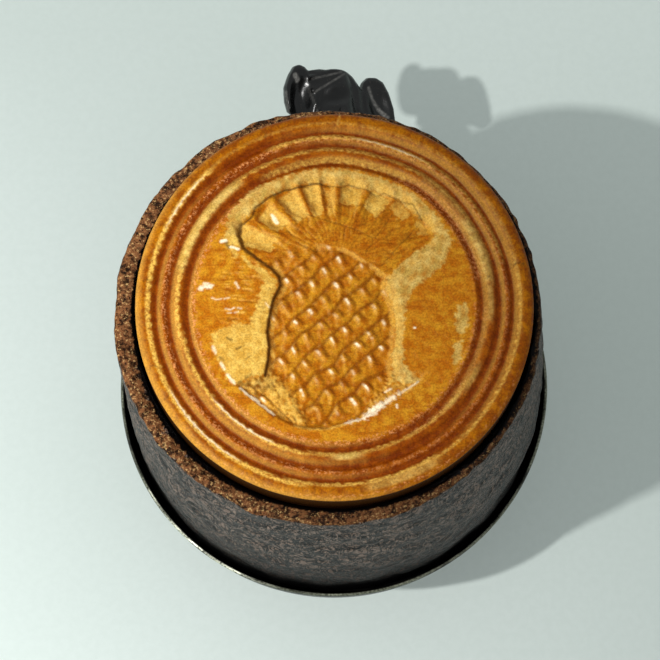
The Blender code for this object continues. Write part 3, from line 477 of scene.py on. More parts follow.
def pan_enamel():
    """Black paint on sheet, worn to bright metal along the rim, with a painted highlight on the rim at the
    front left.
    """
    n = Nodes("pan_enamel")
    x, y, z = n.axes()
    patch = n.noise(130.0, 4.0, 0.6)
    fine = n.noise(1700.0, 3.0, 0.6)
    ragged = n.times(n.noise(90.0, 3.0, 0.6), 0.0020)
    edge = n.ramp(n.plus(z, ragged), (PAN_TOP + 0.4) * MM, (PAN_TOP + 1.0) * MM)
    # Painted highlight: the bare rim is much paler at the front left, towards the lamp
    rim_highlight = n.times(n.ramp(x, -0.030, -0.014, 1.0, 0.0), n.ramp(y, -0.026, -0.042))
    bare = n.mix(n.ramp(fine, 0.35, 0.65), (74, 76, 64), (128, 131, 114))
    bare = n.mix(n.times(rim_highlight, n.ramp(fine, 0.34, 0.54)), bare, (226, 228, 206))
    paint = n.mix(n.ramp(patch, 0.35, 0.7), (6, 6, 6), (14, 14, 13))
    normal = n.bump(n.plus(patch, n.times(fine, 0.3)), 0.35, 0.0004)
    rough = n.ramp(fine, 0.3, 0.7, 0.30, 0.46)
    return n.finish(n.mix(edge, paint, bare), rough, normal, metallic=n.times(edge, 0.6), specular=0.3)


def handle_wood():
    """Plain oiled wood with its grain along the rod."""
    n = Nodes("handle_wood")
    grain = n.noise(520.0, 5.0, 0.65, vector=n.stretch((1.0, 1.0, 0.08)), warp=0.3)
    pores = n.noise(2600.0, 2.0, 0.5, vector=n.stretch((1.0, 1.0, 0.05)))
    broad = n.noise(45.0, 3.0, 0.5)
    colour = n.mix(n.ramp(grain, 0.34, 0.68), (84, 46, 22), (150, 96, 52))
    colour = n.mix(n.ramp(broad, 0.4, 0.75, 0.0, 0.4), colour, (104, 60, 30))
    colour = n.mix(n.ramp(pores, 0.60, 0.72, 0.0, 0.7), colour, (52, 28, 14))
    normal = n.bump(n.plus(grain, n.times(pores, -0.5)), 0.3, 0.0003)
    return n.finish(colour, n.ramp(grain, 0.3, 0.7, 0.40, 0.56), normal, coat=0.1, coat_rough=0.3)


def dull_metal(name, dark, light):
    """Old metal with tarnish and fine scratches."""
    n = Nodes(name)
    patch = n.noise(240.0, 5.0, 0.65)
    scratch = n.noise(900.0, 3.0, 0.6, vector=n.stretch((1.0, 0.12, 1.0), 0.4))
    colour = n.mix(n.ramp(patch, 0.35, 0.7), dark, light)
    normal = n.bump(n.plus(scratch, patch), 0.25, 0.0002)
    return n.finish(colour, n.ramp(patch, 0.3, 0.7, 0.30, 0.50), normal, metallic=0.9)


def seal_leather():
    """Brown leather with a fine pebble."""
    n = Nodes("seal_leather")
    patch = n.noise(180.0, 4.0, 0.6)
    colour = n.mix(n.ramp(patch, 0.35, 0.7), (62, 38, 24), (104, 68, 42))
    normal = n.bump(n.plus(n.pebbles(1100.0), patch), 0.4, 0.0003)
    return n.finish(colour, n.ramp(patch, 0.3, 0.7, 0.6, 0.8), normal)


PRINT_WOOD = print_wood()
CASE_VARNISH = case_varnish()
PAN_ENAMEL = pan_enamel()
BLACK_IRON = black_paint("black_iron")
CAST_PAINT = black_paint("cast_paint", tint=(7, 7, 7), rough=(0.18, 0.30), masked=True)
HANDLE_WOOD = handle_wood()
STEEL = dull_metal("plain_steel", (82, 78, 74), (150, 146, 140))
BRASS = dull_metal("bush_brass", (110, 84, 42), (186, 150, 84))
LEATHER = seal_leather()


# Carved print

CELL = 0.2
GRID_REACH = PRINT_RADIUS + 0.8
FACE_FLOOR = PRINT_TOP - 4.0
FACE_STEPS = 680
LAMP_WAY = (-0.883, -0.470)
MASKS = ("pale", "dull", "white", "dark", "bright", "chalk", "rings", "valley", "bead", "lit", "shade")

# The middle of the print's face in the picture, and the picture's pixels in a mm
PICTURE_MIDDLE = (334.9, 307.0)
PICTURE_SCALE = (3.937, -3.818)


def on_print(px, py):
    """A place on the print's face in mm, from the picture's frame."""
    return ((px - PICTURE_MIDDLE[0]) / PICTURE_SCALE[0], (py - PICTURE_MIDDLE[1]) / PICTURE_SCALE[1])


def places(pairs):
    return [on_print(px, py) for px, py in pairs]


# Depth in mm over the share of the radius
RING_TABLE = (
    (1.0, 1.5), (0.995, 0.9), (0.985, 0.45), (0.97, 0.1), (0.955, 0.0), (0.94, 0.08), (0.925, 0.35),
    (0.912, 0.9), (0.902, 1.35), (0.89, 1.30), (0.878, 0.80), (0.866, 0.50), (0.855, 0.62), (0.845, 1.15),
    (0.832, 1.40), (0.82, 1.25), (0.805, 0.6), (0.788, 0.25), (0.772, 0.42), (0.758, 0.95), (0.745, 1.40),
    (0.733, 1.42), (0.722, 1.0), (0.711, 0.62), (0.698, 0.72), (0.66, 0.75), (0.0, 0.7),
)
# Bands along the rings: share, half width, first and last angle clockwise from the right, strength
# Bright arcs: painted highlights where the crests face the lamp, and worn places along the bead's inner edge
LIT_AND_WORN_ARCS = (
    (0.937, 0.011, 100, 228, 1.0), (0.922, 0.009, 58, 104, 0.85), (0.945, 0.007, 228, 345, 0.20),
    (0.932, 0.008, -15, 60, 0.50), (0.791, 0.011, 165, 232, 0.85), (0.778, 0.011, 100, 168, 0.90),
    (0.770, 0.010, 30, 100, 0.50), (0.808, 0.011, 232, 345, 0.50), (0.752, 0.014, 242, 300, 0.45),
    (0.874, 0.011, 248, 306, 0.75), (0.876, 0.010, 306, 345, 0.45), (0.930, 0.007, 124, 150, 1.0),
    (0.776, 0.006, 118, 140, 1.0),
)
# Painted highlights: white glints along the crests
GLINT_ARCS = (
    (0.931, 0.0040, 122, 150, 0.55), (0.775, 0.0040, 114, 140, 0.60), (0.874, 0.0035, 278, 300, 0.40),
    (0.936, 0.004, 206, 224, 0.5),
)
OCHRE_ARCS = (
    (0.796, 0.022, 193, 232, 0.85), (0.787, 0.022, 326, 352, 0.75), (0.784, 0.014, 352, 366, 0.5),
    (0.782, 0.015, 81, 90, 0.95), (0.948, 0.020, 58, 80, 0.45), (0.788, 0.014, 24, 34, 0.55),
    (0.775, 0.012, 36, 44, 0.4), (0.795, 0.016, 305, 326, 0.35),
)
CHALK_ARCS = (
    (0.857, 0.011, 90, 250, 0.85), (0.712, 0.011, 60, 235, 0.85), (0.702, 0.010, 150, 235, 0.5),
    (0.862, 0.011, 250, 345, 0.5), (0.722, 0.016, 296, 350, 0.6), (0.868, 0.010, -15, 90, 0.4),
    (0.712, 0.013, 0, 60, 0.5), (0.757, 0.013, 300, 350, 0.5), (0.76, 0.010, 0, 60, 0.35),
    (0.984, 0.005, 20, 140, 0.5),
)
# Radial cracks: angle, first and last share, strength
CRACKS = (
    (347.5, 0.915, 0.985, 1.0), (187.0, 0.925, 0.975, 0.8), (176.0, 0.93, 0.97, 0.5),
    (160.0, 0.925, 0.98, 0.6),
    (205.0, 0.93, 0.975, 0.5), (150.0, 0.93, 0.985, 0.6), (248.0, 0.93, 0.985, 0.5), (222.0, 0.93, 0.98, 0.4),
    (96.0, 0.935, 0.975, 0.5), (78.0, 0.93, 0.97, 0.5), (310.0, 0.93, 0.98, 0.5), (20.0, 0.93, 0.975, 0.4),
    (54.0, 0.93, 0.97, 0.4), (133.0, 0.77, 0.81, 0.5), (194.0, 0.76, 0.82, 0.6), (350.0, 0.775, 0.80, 0.8),
)

MOTIF = places((
    (241, 226), (239, 238), (243, 251), (258, 262), (271, 271), (279, 279), (281, 288), (277, 296),
    (273, 305), (270, 320), (268, 335), (270, 350), (269, 362), (266, 378), (253, 382), (240, 388),
    (252, 398), (264, 408), (276, 417), (290, 424), (298, 427), (309, 429), (328, 429), (345, 424),
    (362, 420), (375, 412), (393, 403), (405, 395), (419, 383), (405, 386), (396, 382),
    (391, 376), (391, 360), (393, 345), (395, 330), (394, 315), (391, 302), (386, 292), (384, 283),
    (388, 279), (398, 270), (410, 260), (420, 252), (430, 245), (433, 238), (428, 230), (415, 216),
    (395, 204), (365, 197), (335, 195), (305, 198), (280, 207), (258, 221),
))
FAN_CENTRE = on_print(335, 268)
GOUGE_START = 0.2
GOUGE_ROOT = 0.4
TIP_ROUND = 1.5
OFF_GOUGE = 9.0
# Tips of the gouges: place, half width in mm, length and strength of the pale end
FLUTES = (
    (244, 238, 3.1, 8.0, 1.0), (262, 213, 3.0, 6.8, 0.95), (285, 194, 3.2, 8.4, 0.80),
    (309, 185, 2.6, 8.8, 0.90), (327, 183, 1.9, 1.0, 0.0), (353, 187, 3.3, 4.9, 1.0),
    (383, 195, 3.3, 5.8, 0.95), (407, 207, 3.2, 3.6, 0.50), (427, 228, 2.7, 2.4, 0.45),
)
BULB = places((
    (230, 290), (262, 276), (285, 256), (300, 250), (314, 248), (336, 250), (350, 255), (367, 266),
    (381, 276), (400, 286), (440, 300), (440, 445), (230, 445),
))
# The hatching's two steps in the picture, from one crossing to the next, and its shift in such steps
HATCH_MIDDLE = (335.0, 345.0)
HATCH_UP = (13.45, -11.60)
HATCH_DOWN = (11.25, 15.45)
HATCH_SHIFT = (0.02, 0.62)
LEFT_BRACT = places((
    (266, 380), (277, 379), (284, 385), (292, 396), (300, 409), (306, 423), (299, 427), (288, 419),
    (277, 407), (268, 395),
))
RIGHT_BRACT = places((
    (391, 374), (400, 383), (419, 384), (405, 394), (385, 404), (366, 415), (374, 401), (384, 391),
))
CORNER_BRACT = places(((240, 387), (252, 381), (266, 379), (277, 388), (262, 393), (250, 393)))

PALE_PATCHES = (
    places((
        (242, 259), (252, 266), (268, 276), (279, 285), (275, 297), (272, 313), (268, 333), (269, 350),
        (270, 366), (267, 378), (252, 379), (235, 387), (226, 377), (215, 353), (211, 337), (228, 330),
        (250, 326), (257, 310), (260, 298), (264, 284), (257, 275), (244, 264),
    )),
    places(((236, 262), (222, 242), (234, 226), (241, 228), (240, 250))),
)
# Pale ochre patches. The first two lie on the slopes right of the motif and above it, which face the lamp,
# and their paleness there is painted light as well.
OCHRE_AND_LIT_PATCHES = (
    places((
        (386, 283), (403, 265), (417, 253), (428, 248), (440, 235), (452, 246), (447, 262), (440, 272),
        (425, 283), (413, 293), (407, 305), (405, 320), (403, 343), (404, 367), (410, 373), (420, 382),
        (416, 388), (403, 395), (392, 382), (392, 357), (396, 343), (397, 323), (393, 305), (387, 293),
    )),
    places((
        (225, 240), (228, 218), (240, 202), (258, 188), (292, 176), (320, 170), (349, 171), (380, 179),
        (414, 195), (438, 218), (454, 244), (440, 246), (432, 228), (423, 221), (400, 201), (367, 190),
        (341, 187), (312, 183), (285, 190), (268, 199), (254, 211), (242, 225), (240, 238),
    )),
    places(((459, 309), (466, 306), (469, 318), (467, 331), (461, 339), (456, 330), (456, 318))),
    places(((455, 346), (462, 344), (462, 356), (458, 367), (452, 364))),
)
WHITE_PATCHES = (
    places((
        (344, 425), (352, 422), (362, 419), (369, 411), (379, 405), (390, 399), (400, 394), (400, 397),
        (390, 404), (381, 411), (373, 418), (364, 422), (352, 425),
    )),
)
# Lines in the picture's frame with a half width in mm and a strength
# The first two dark lines are painted shadow along the motif's steep left wall; the others are dark cuts and
# marks
DARK_LINES = (
    (((241, 226), (239, 238), (243, 251), (258, 262), (271, 271), (279, 279)), 0.48, 0.80),
    (
        ((279, 279), (281, 288), (277, 296), (273, 305), (270, 320), (268, 335), (270, 350), (269, 362),
         (266, 378)), 0.30, 0.95,
    ),
    (
        ((243, 226), (252, 219), (255, 210), (268, 200), (285, 191), (298, 189), (312, 184), (322, 185)),
        0.24, 0.85,
    ),
    (
        ((322, 185), (341, 189), (349, 185), (367, 191), (378, 197), (385, 194), (400, 202), (414, 206),
         (423, 222)), 0.17, 0.6,
    ),
    (((254, 390), (265, 397), (275, 406), (284, 415), (294, 424)), 0.17, 0.65),
    (((307, 216), (332, 224), (354, 231), (378, 242)), 0.12, 0.5),
    (((287, 231), (300, 247), (316, 253), (340, 254), (356, 261)), 0.20, 0.35),
    (((343, 206), (356, 207), (369, 206)), 0.12, 0.5),
    (((226, 245), (229, 250)), 0.45, 0.7),
    (((398, 272), (404, 268)), 0.12, 0.4),
    (((228, 341), (233, 343)), 0.24, 0.7),
    (((237, 352), (242, 350)), 0.24, 0.65),
    (((221, 360), (225, 363)), 0.22, 0.6),
    (((247, 362), (251, 359)), 0.22, 0.5),
    (((307, 216), (300, 228), (296, 236)), 0.10, 0.35),
    (((345, 228), (344, 246)), 0.10, 0.4),
    (((369, 206), (352, 250)), 0.10, 0.35),
    (((343, 192), (341, 226)), 0.12, 0.4),
    (((394, 214), (366, 256)), 0.12, 0.4),
    (((420, 226), (382, 268)), 0.14, 0.45),
)
# The first two white lines, along the lower left of the outline, are a chipped edge and its painted
# highlight; the rest are chips and flecks
WHITE_LINES = (
    (((242, 391), (252, 399), (264, 408), (275, 416)), 0.30, 0.75),
    (((252, 398), (260, 404)), 0.35, 0.9),
    (((201, 292), (205, 290), (211, 290)), 0.50, 0.75),
    (((204, 287), (209, 287)), 0.30, 0.6),
    (((221, 245), (226, 243)), 0.35, 0.9),
    (((231, 250), (238, 252)), 0.30, 0.9),
    (((212, 301), (217, 303), (222, 302)), 0.16, 0.5),
    (((225, 302), (230, 301)), 0.15, 0.6),
    (((226, 312), (231, 313), (235, 311)), 0.17, 0.6),
    (((238, 311), (242, 312)), 0.15, 0.6),
    (((228, 316), (232, 316)), 0.14, 0.5),
    (((235, 316), (239, 315)), 0.14, 0.5),
    (((236, 286), (239, 291)), 0.25, 0.6),
    (((272, 216), (274, 220), (277, 224)), 0.42, 0.85),
    (((414.6, 331), (415.4, 331)), 0.22, 1.0),
    (((396.5, 407), (397, 410)), 0.22, 0.8),
    (((398, 396), (409, 390), (418, 384)), 0.22, 0.6),
    (((385, 394), (391, 391)), 0.20, 0.7),
    (((214, 350), (217, 356)), 0.35, 0.6),
    (((222, 366), (226, 372)), 0.35, 0.6),
    (((229, 378), (236, 386)), 0.35, 0.7),
    (((266, 306), (270, 311)), 0.15, 0.5),
)
# Bright lines: painted highlights along edges of the motif and of the bead
BRIGHT_LINES = (
    (((395, 304), (397.5, 320), (397.5, 343), (395, 354)), 0.22, 0.9),
    (((296, 427), (309, 430), (328, 430), (345, 426)), 0.40, 0.75),
    (((334, 190), (338, 205)), 0.30, 0.3),
    (((320, 190), (330, 196), (331, 214)), 0.75, 0.55),
    (((391, 376), (394, 382), (384, 391)), 0.25, 0.6),
    (((341, 112), (339.5, 119), (338.5, 126)), 0.16, 0.7),
)


LINE = np.arange(-GRID_REACH, GRID_REACH + 0.5 * CELL, CELL)
X, Y = np.meshgrid(LINE, LINE)
RADIUS = np.hypot(X, Y)
SHARE = RADIUS / PRINT_RADIUS
ANGLE = np.arctan2(Y, X)
CLOCKWISE = np.degrees(-ANGLE) % 360.0


def wave(seed, wavelength, x=X, y=Y):
    """Smooth noise over the grid, or over other places given for its cells."""
    return ripple(np.stack([x.ravel(), y.ravel()], 1), seed, wavelength).reshape(X.shape)


NOISE = wave(51, 1.6)
FINE_NOISE = wave(52, 0.7)
# The rings are a little out of true, but for the print's edge
INNER = smooth_step((0.985 - SHARE) / 0.05)
RING_SHARE = SHARE + 0.0022 * wave(11, 0.9, np.cos(ANGLE), np.sin(ANGLE)) * INNER


def arcs(rows, patchy=0.25):
    """Bands along the rings, with soft ends."""
    total = np.zeros(X.shape)
    for centre, half, first, last, strength in rows:
        off = np.abs((CLOCKWISE - 0.5 * (first + last) + 180.0) % 360.0 - 180.0)
        along = smooth_step((0.5 * (last - first) - off) / 7.0 + 0.5)
        place = np.abs(RING_SHARE + 0.01 * patchy * NOISE - centre)
        total = np.maximum(total, strength * along * smooth_step(1.5 - place / half))
    return limit(total * (1.0 + patchy * NOISE))


def patches(outlines, soft=0.7):
    """Areas with soft and ragged edges."""
    inside = np.minimum.reduce([polygon_distance(X, Y, outline) for outline in outlines])
    return smooth_step(0.5 - (inside + 0.22 * NOISE + 0.10 * FINE_NOISE) / soft)


def strokes(rows, rough=0.25):
    """Narrow lines of uneven width."""
    uneven = np.maximum(1.0 + rough * NOISE, 0.4)
    total = np.zeros(X.shape)
    for points, width, strength in rows:
        distance = line_distance(X, Y, places(points)) + 0.05 * NOISE
        total = np.maximum(total, strength * smooth_step(1.5 - distance / (width * uneven)))
    return total


def read(field, x, y):
    """Bilinear reading of a field at places in mm."""
    u, v = (np.clip((c - LINE[0]) / CELL, 0.0, len(LINE) - 1.001) for c in (x, y))
    i, j = u.astype(int), v.astype(int)
    fu, fv = u - i, v - j
    low = field[j, i] * (1 - fu) + field[j, i + 1] * fu
    high = field[j + 1, i] * (1 - fu) + field[j + 1, i + 1] * fu
    return low * (1 - fv) + high * fv


class Face:
    """The print's face on the grid: how deep it is cut, and a mask for each tone of its material and of its
    painted light and shade.
    """

    def __init__(self):
        self.masks = {name: np.zeros(X.shape) for name in MASKS}

    def show(self, mask, strength):
        """Raise a mask where it is lower than a strength."""
        self.masks[mask] = np.maximum(self.masks[mask], strength)

    def turn_rings(self):
        """The rings round the field, and their tones."""
        ring_depth = np.interp(RING_SHARE, *zip(*sorted(RING_TABLE)))
        uneven = 0.07 * wave(12, 0.6, np.cos(ANGLE), np.sin(ANGLE)) * INNER + 0.035 * wave(13, 5.0)
        self.in_rings = smooth_step((SHARE - 0.69) / 0.02)
        self.depth = ring_depth + uneven * self.in_rings
        self.show("rings", smooth_step((SHARE - 0.70) / 0.02))
        valley = smooth_step((ring_depth - 0.45) / 0.55)
        self.show("valley", valley * smooth_step((SHARE - 0.715) / 0.02))
        self.show("bead", smooth_step((SHARE - 0.926) / 0.012))

    def lay_gouges(self):
        """The crown's gouge marks, each from the fan's centre out to a round tip."""
        self.gouges = np.full(X.shape, FAR)
        self.hollow, self.reach, self.ends = (np.zeros(X.shape) for field in range(3))
        dx, dy = X - FAN_CENTRE[0], Y - FAN_CENTRE[1]
        for tip_x, tip_y, half, pale_length, pale_strength in FLUTES:
            tx, ty = on_print(tip_x, tip_y)
            ex, ey = tx - FAN_CENTRE[0], ty - FAN_CENTRE[1]
            length = math.hypot(ex, ey)
            ux, uy = ex / length, ey / length
            along = dx * ux + dy * uy
            across = np.abs(dy * ux - dx * uy)
            width = GOUGE_ROOT + (half - GOUGE_ROOT) * limit(along / length)
            over = np.maximum(along - (length - TIP_ROUND), 0.0)
            out = np.maximum(across - np.maximum(width - TIP_ROUND, 0.0), 0.0)
            distance = np.hypot(over, out) - np.minimum(TIP_ROUND, width)
            distance = np.where(along < GOUGE_START * length, OFF_GOUGE, distance)
            pale_end = smooth_step((along - (length - pale_length) + 0.3 * NOISE) / 0.35)
            pale_end *= smooth_step((width * 0.92 - across + 0.15 * NOISE) / 0.4)
            nearer = distance < self.gouges
            self.gouges = np.where(nearer, distance, self.gouges)
            self.hollow = np.where(nearer, limit(1.0 - (across / width) ** 2), self.hollow)
            self.reach = np.where(nearer, along / length, self.reach)
            self.ends = np.where(nearer, pale_strength * pale_end, self.ends)

    def sink_motif(self):
        """The motif's sunk floor, and the ground's slope down to it."""
        self.edge = np.minimum(polygon_distance(X, Y, MOTIF) + 0.08 * wave(21, 2.2), self.gouges)
        self.in_bulb = smooth_step(0.5 - (polygon_distance(X, Y, BULB) + 0.12 * NOISE) / 1.2)
        crown = 1.05 + 0.50 * limit(self.reach) + 1.05 * self.hollow * smooth_step((self.reach - 0.48) / 0.34)
        bulb = 2.00 - 0.85 * smooth_step(-self.edge / 7.0)
        floor = crown * (1.0 - self.in_bulb) + bulb * self.in_bulb
        ragged = 0.45 * NOISE + 0.25 * FINE_NOISE
        self.bracts = []
        levels = (1.55 + 0.03 * NOISE, 1.30, 1.75)
        for outline, level in zip((LEFT_BRACT, RIGHT_BRACT, CORNER_BRACT), levels):
            inside = smooth_step(0.5 - (polygon_distance(X, Y, outline) + ragged) / 1.9)
            floor = floor * (1.0 - inside) + level * inside
            self.bracts.append(inside)
        # The slope is long on the right and above, and steep on the left
        right = smooth_step((X - 9.0) / 6.0) * smooth_step((Y + 21.0) / 3.0)
        above = smooth_step((Y - 16.0) / 6.0)
        low = smooth_step((-20.0 - Y) / 3.0)
        slope = 0.15 + 2.6 * right + 2.2 * above * (1.0 - right) + 0.5 * low
        sunk = smooth_step((slope - self.edge) / (slope + 0.45))
        self.depth = self.depth * (1.0 - sunk) + np.maximum(floor, self.depth) * sunk

    def cut_hatching(self):
        """Low ridges one way over the bulb and narrow cuts the other way, with painted light on the ridges'
        lamp side, painted shade on their far side, darker cuts, and a painted glint on some cells.
        """
        px = PICTURE_MIDDLE[0] + PICTURE_SCALE[0] * X + 1.1 * wave(31, 9.0) - HATCH_MIDDLE[0]
        py = PICTURE_MIDDLE[1] + PICTURE_SCALE[1] * Y + 1.1 * wave(32, 9.0) - HATCH_MIDDLE[1]
        cross = HATCH_UP[0] * HATCH_DOWN[1] - HATCH_UP[1] * HATCH_DOWN[0]
        up = (HATCH_DOWN[1] * px - HATCH_DOWN[0] * py) / cross - HATCH_SHIFT[0]
        down = (HATCH_UP[0] * py - HATCH_UP[1] * px) / cross - HATCH_SHIFT[1]
        ridge = (up + 0.5) % 1.0 - 0.5
        run = down % 1.0
        row, column = np.floor(up + 0.5).astype(int), np.floor(down).astype(int)
        chance = np.random.default_rng(35).uniform(0.0, 1.0, (64, 64))[row % 64, column % 64]
        self.in_hatch = self.in_bulb * smooth_step(-self.edge / 1.2)
        for inside in self.bracts:
            self.in_hatch = self.in_hatch * (1.0 - inside)

        cuts = smooth_step(1.0 - np.abs((down + 0.5) % 1.0 - 0.5) / 0.17)
        tooth = smooth_step(run / 0.10) * smooth_step((0.86 - run) / 0.42)
        across = smooth_step(1.0 - np.abs(ridge) / 0.34)
        self.depth += (0.75 - (0.42 + 0.22 * chance) * across * tooth + 0.42 * cuts) * self.in_hatch
        self.depth += 0.09 * wave(33, 2.2) * self.in_bulb * smooth_step(-self.edge / 0.8)

        lit_side = np.exp(-((ridge + 0.14) / 0.10) ** 2) * smooth_step((0.62 - run) / 0.35) * tooth
        dark_side = np.exp(-((ridge - 0.19) / 0.12) ** 2) * tooth
        glint = np.exp(-((ridge + 0.10) / 0.070) ** 4) * np.exp(-((run - 0.24) / 0.17) ** 4)
        glint *= self.in_hatch * (0.12 + 0.73 * smooth_step((chance - 0.25) / 0.55))
        self.show("lit", 0.55 * chance * lit_side * self.in_hatch)
        self.show("shade", np.maximum(0.70 * dark_side, 0.75 * cuts) * self.in_hatch)
        self.show("white", limit(glint * (0.95 + 0.3 * NOISE)))

    def score_crown(self):
        """Fine tool marks that spread from the fan's centre, with painted shade in them, and the gouges' pale
        ends.
        """
        fan_angle = np.arctan2(Y - FAN_CENTRE[1], X - FAN_CENTRE[0])
        scores = np.sin(fan_angle * 52.0 + 1.6 * wave(41, 6.0))
        self.in_crown = (1.0 - self.in_bulb) * smooth_step(-self.edge / 0.8)
        self.in_crown *= smooth_step((Y - 7.0) / 2.0)
        self.depth += 0.07 * scores * self.in_crown
        self.show("shade", 1.1 * limit(scores - 0.55) * self.in_crown * (1.0 - self.ends))
        self.show("pale", self.ends * self.in_crown * limit(0.95 + 0.12 * NOISE))
        self.show("bright", 0.55 * self.ends * self.in_crown)

    def roughen_ground(self):
        """Torn fibres on the left of the ground, with painted light on their raised tops and painted shade in
        their hollows, and a little unevenness all over it.
        """
        left = smooth_step((-13.5 - X) / 2.0) * smooth_step((X + 30.0) / 3.0)
        left *= smooth_step((Y + 7.0) / 2.0) * smooth_step((18.0 - Y) / 3.0) * smooth_step(self.edge / 0.6)
        fibres = wave(42, 1.3, 0.22 * X, 1.4 * Y) + 0.5 * NOISE
        fibres *= limit(0.55 + 0.55 * wave(44, 4.0))
        self.depth += 0.15 * np.clip(fibres, -0.6, 1.6) * left
        self.depth += 0.03 * wave(43, 3.0) * smooth_step((0.69 - SHARE) / 0.02)
        self.show("bright", 0.55 * limit(-fibres - 0.5) * left)
        self.show("shade", 0.45 * limit(fibres - 0.6) * left)

    def draw_lines(self):
        """Dark cuts and painted shadow along the motif's left wall, white chips and painted highlights,
        bright painted highlights on edges, and radial cracks.
        """
        dark = strokes(DARK_LINES)
        white = strokes(WHITE_LINES, 0.35)
        self.depth += 0.25 * dark - 0.12 * white
        self.show("dark", dark)
        self.show("white", white)
        self.show("bright", strokes(BRIGHT_LINES))
        for place, first, last, strength in CRACKS:
            off = np.radians((CLOCKWISE - place + 180.0) % 360.0 - 180.0) * RADIUS
            off = np.abs(off + 0.35 * np.sin(RADIUS * 2.1 + place))
            extent = smooth_step((SHARE - first) / 0.01) * smooth_step((last - SHARE) / 0.01)
            crack = strength * extent * smooth_step(1.5 - off / 0.22)
            self.depth += 0.15 * crack
            self.show("dark", 0.75 * crack)

    def tone_slopes(self):
        """Paler where a slope faces the lamp, and darker where it faces away."""
        step_y, step_x = np.gradient(self.depth, CELL)
        facing = blur(LAMP_WAY[0] * step_x + LAMP_WAY[1] * step_y, 0.6)
        strong = 0.60 - 0.20 * self.in_hatch + 0.12 * self.in_crown - 0.20 * self.in_rings
        self.show("lit", limit((facing - 0.07) / 0.60) * strong)
        self.show("shade", limit((-facing - 0.06) / 0.60) * strong)

    def wear_and_light(self):
        """Bared, chalky and pale ochre places and a white chip, and painted light: ochre on the slopes that
        face the lamp, pale cells on the bulb's lamp side, white glints on the crests, and bright arcs that
        are partly painted highlights and partly worn places.
        """
        edge = self.edge
        left_bract, right_bract, corner_bract = self.bracts
        # Painted light: the bulb's cells along its left edge, towards the lamp, are paler
        lamp_side_cells = self.in_bulb * smooth_step(-edge / 0.3) * smooth_step((edge + 1.9) / 0.6)
        lamp_side_cells *= smooth_step((-10.0 - X) / 2.0)
        self.show("pale", patches(PALE_PATCHES) * smooth_step(edge / 0.3))
        self.show("pale", np.clip(left_bract * (0.85 + 0.30 * NOISE), 0.0, 0.90))
        self.show("pale", 0.45 * limit(right_bract * (1.0 + 0.8 * NOISE)))
        self.show("pale", 0.6 * lamp_side_cells * limit(1.0 + 0.5 * NOISE))
        dull = patches(OCHRE_AND_LIT_PATCHES) * smooth_step((edge + 0.35) / 0.3)
        self.show("dull", dull * limit(0.80 + 0.16 * wave(53, 2.5)))
        self.show("dull", arcs(OCHRE_ARCS, 0.12))
        self.show("dull", 0.55 * limit(corner_bract * (1.0 + 0.8 * NOISE)))
        self.show("dark", 0.55 * limit(corner_bract * (0.6 - 0.9 * NOISE)))
        self.show("white", patches(WHITE_PATCHES, 0.5) * limit(0.85 + 0.2 * NOISE))
        self.show("white", arcs(GLINT_ARCS, 0.15))
        self.show("bright", arcs(LIT_AND_WORN_ARCS))
        self.show("chalk", arcs(CHALK_ARCS))


def carve():
    """The print's face, made in the order in which a carver works."""
    face = Face()
    face.turn_rings()
    face.lay_gouges()
    face.sink_motif()
    face.cut_hatching()
    face.score_crown()
    face.roughen_ground()
    face.draw_lines()
    face.depth = blur(face.depth, 0.8)
    face.tone_slopes()
    face.wear_and_light()
    return face


def face_steps(radius):
    """Points on a ring of the face, halved three times towards the middle."""
    for reach, part in ((5.2, 8), (10.5, 4), (21.0, 2)):
        if radius < reach:
            return FACE_STEPS // part
    return FACE_STEPS


def build_print():
    face = carve()
    radii = [*np.arange(0.45, 36.0, 0.3), *np.arange(36.0, PRINT_RADIUS - 0.35, 0.235)]
    radii += [PRINT_RADIUS - 0.22, PRINT_RADIUS - 0.1, PRINT_RADIUS]
    rings = []
    for radius in radii:
        x, y = (radius * circle(face_steps(radius))).T
        rings.append(np.stack([x, y, PRINT_TOP - read(face.depth, x, y)], 1))
    back_round = 1.2
    side = [(PRINT_RADIUS, PRINT_TOP - drop) for drop in (2.4, 6.0, 11.0)]
    side += round_corner((PRINT_RADIUS - back_round, PRINT_BASE + back_round), back_round, 0, -90, 4)
    rings += [level_ring(radius, z, FACE_STEPS) for radius, z in side]
    socket_radius = TENON_RADIUS + SEAT_GAP
    socket_top = ROD_TOP + SEAT_GAP
    back = ((30.0, PRINT_BASE), (socket_radius, PRINT_BASE), (socket_radius, socket_top))
    rings += [level_ring(radius, z, FACE_STEPS // 2) for radius, z in back]
    middle = PRINT_TOP - read(face.depth, np.zeros(1), np.zeros(1))[0]
    mesh, points = mesh_from_rings("carved_print", rings, middle, socket_top)
    x, y, z = points.T
    for name, field in face.masks.items():
        store(mesh, name, read(field, x, y) * (z > FACE_FLOOR))
    add_piece(mesh, "plunger", PRINT_WOOD, "print_disc", sharp=60)


build_print()


# Case

RIM_SHIFT = (-1.6, -0.7)
# Angles in degrees where the mouth is worn down
WORN_PLACES = (-146.0, -40.0)


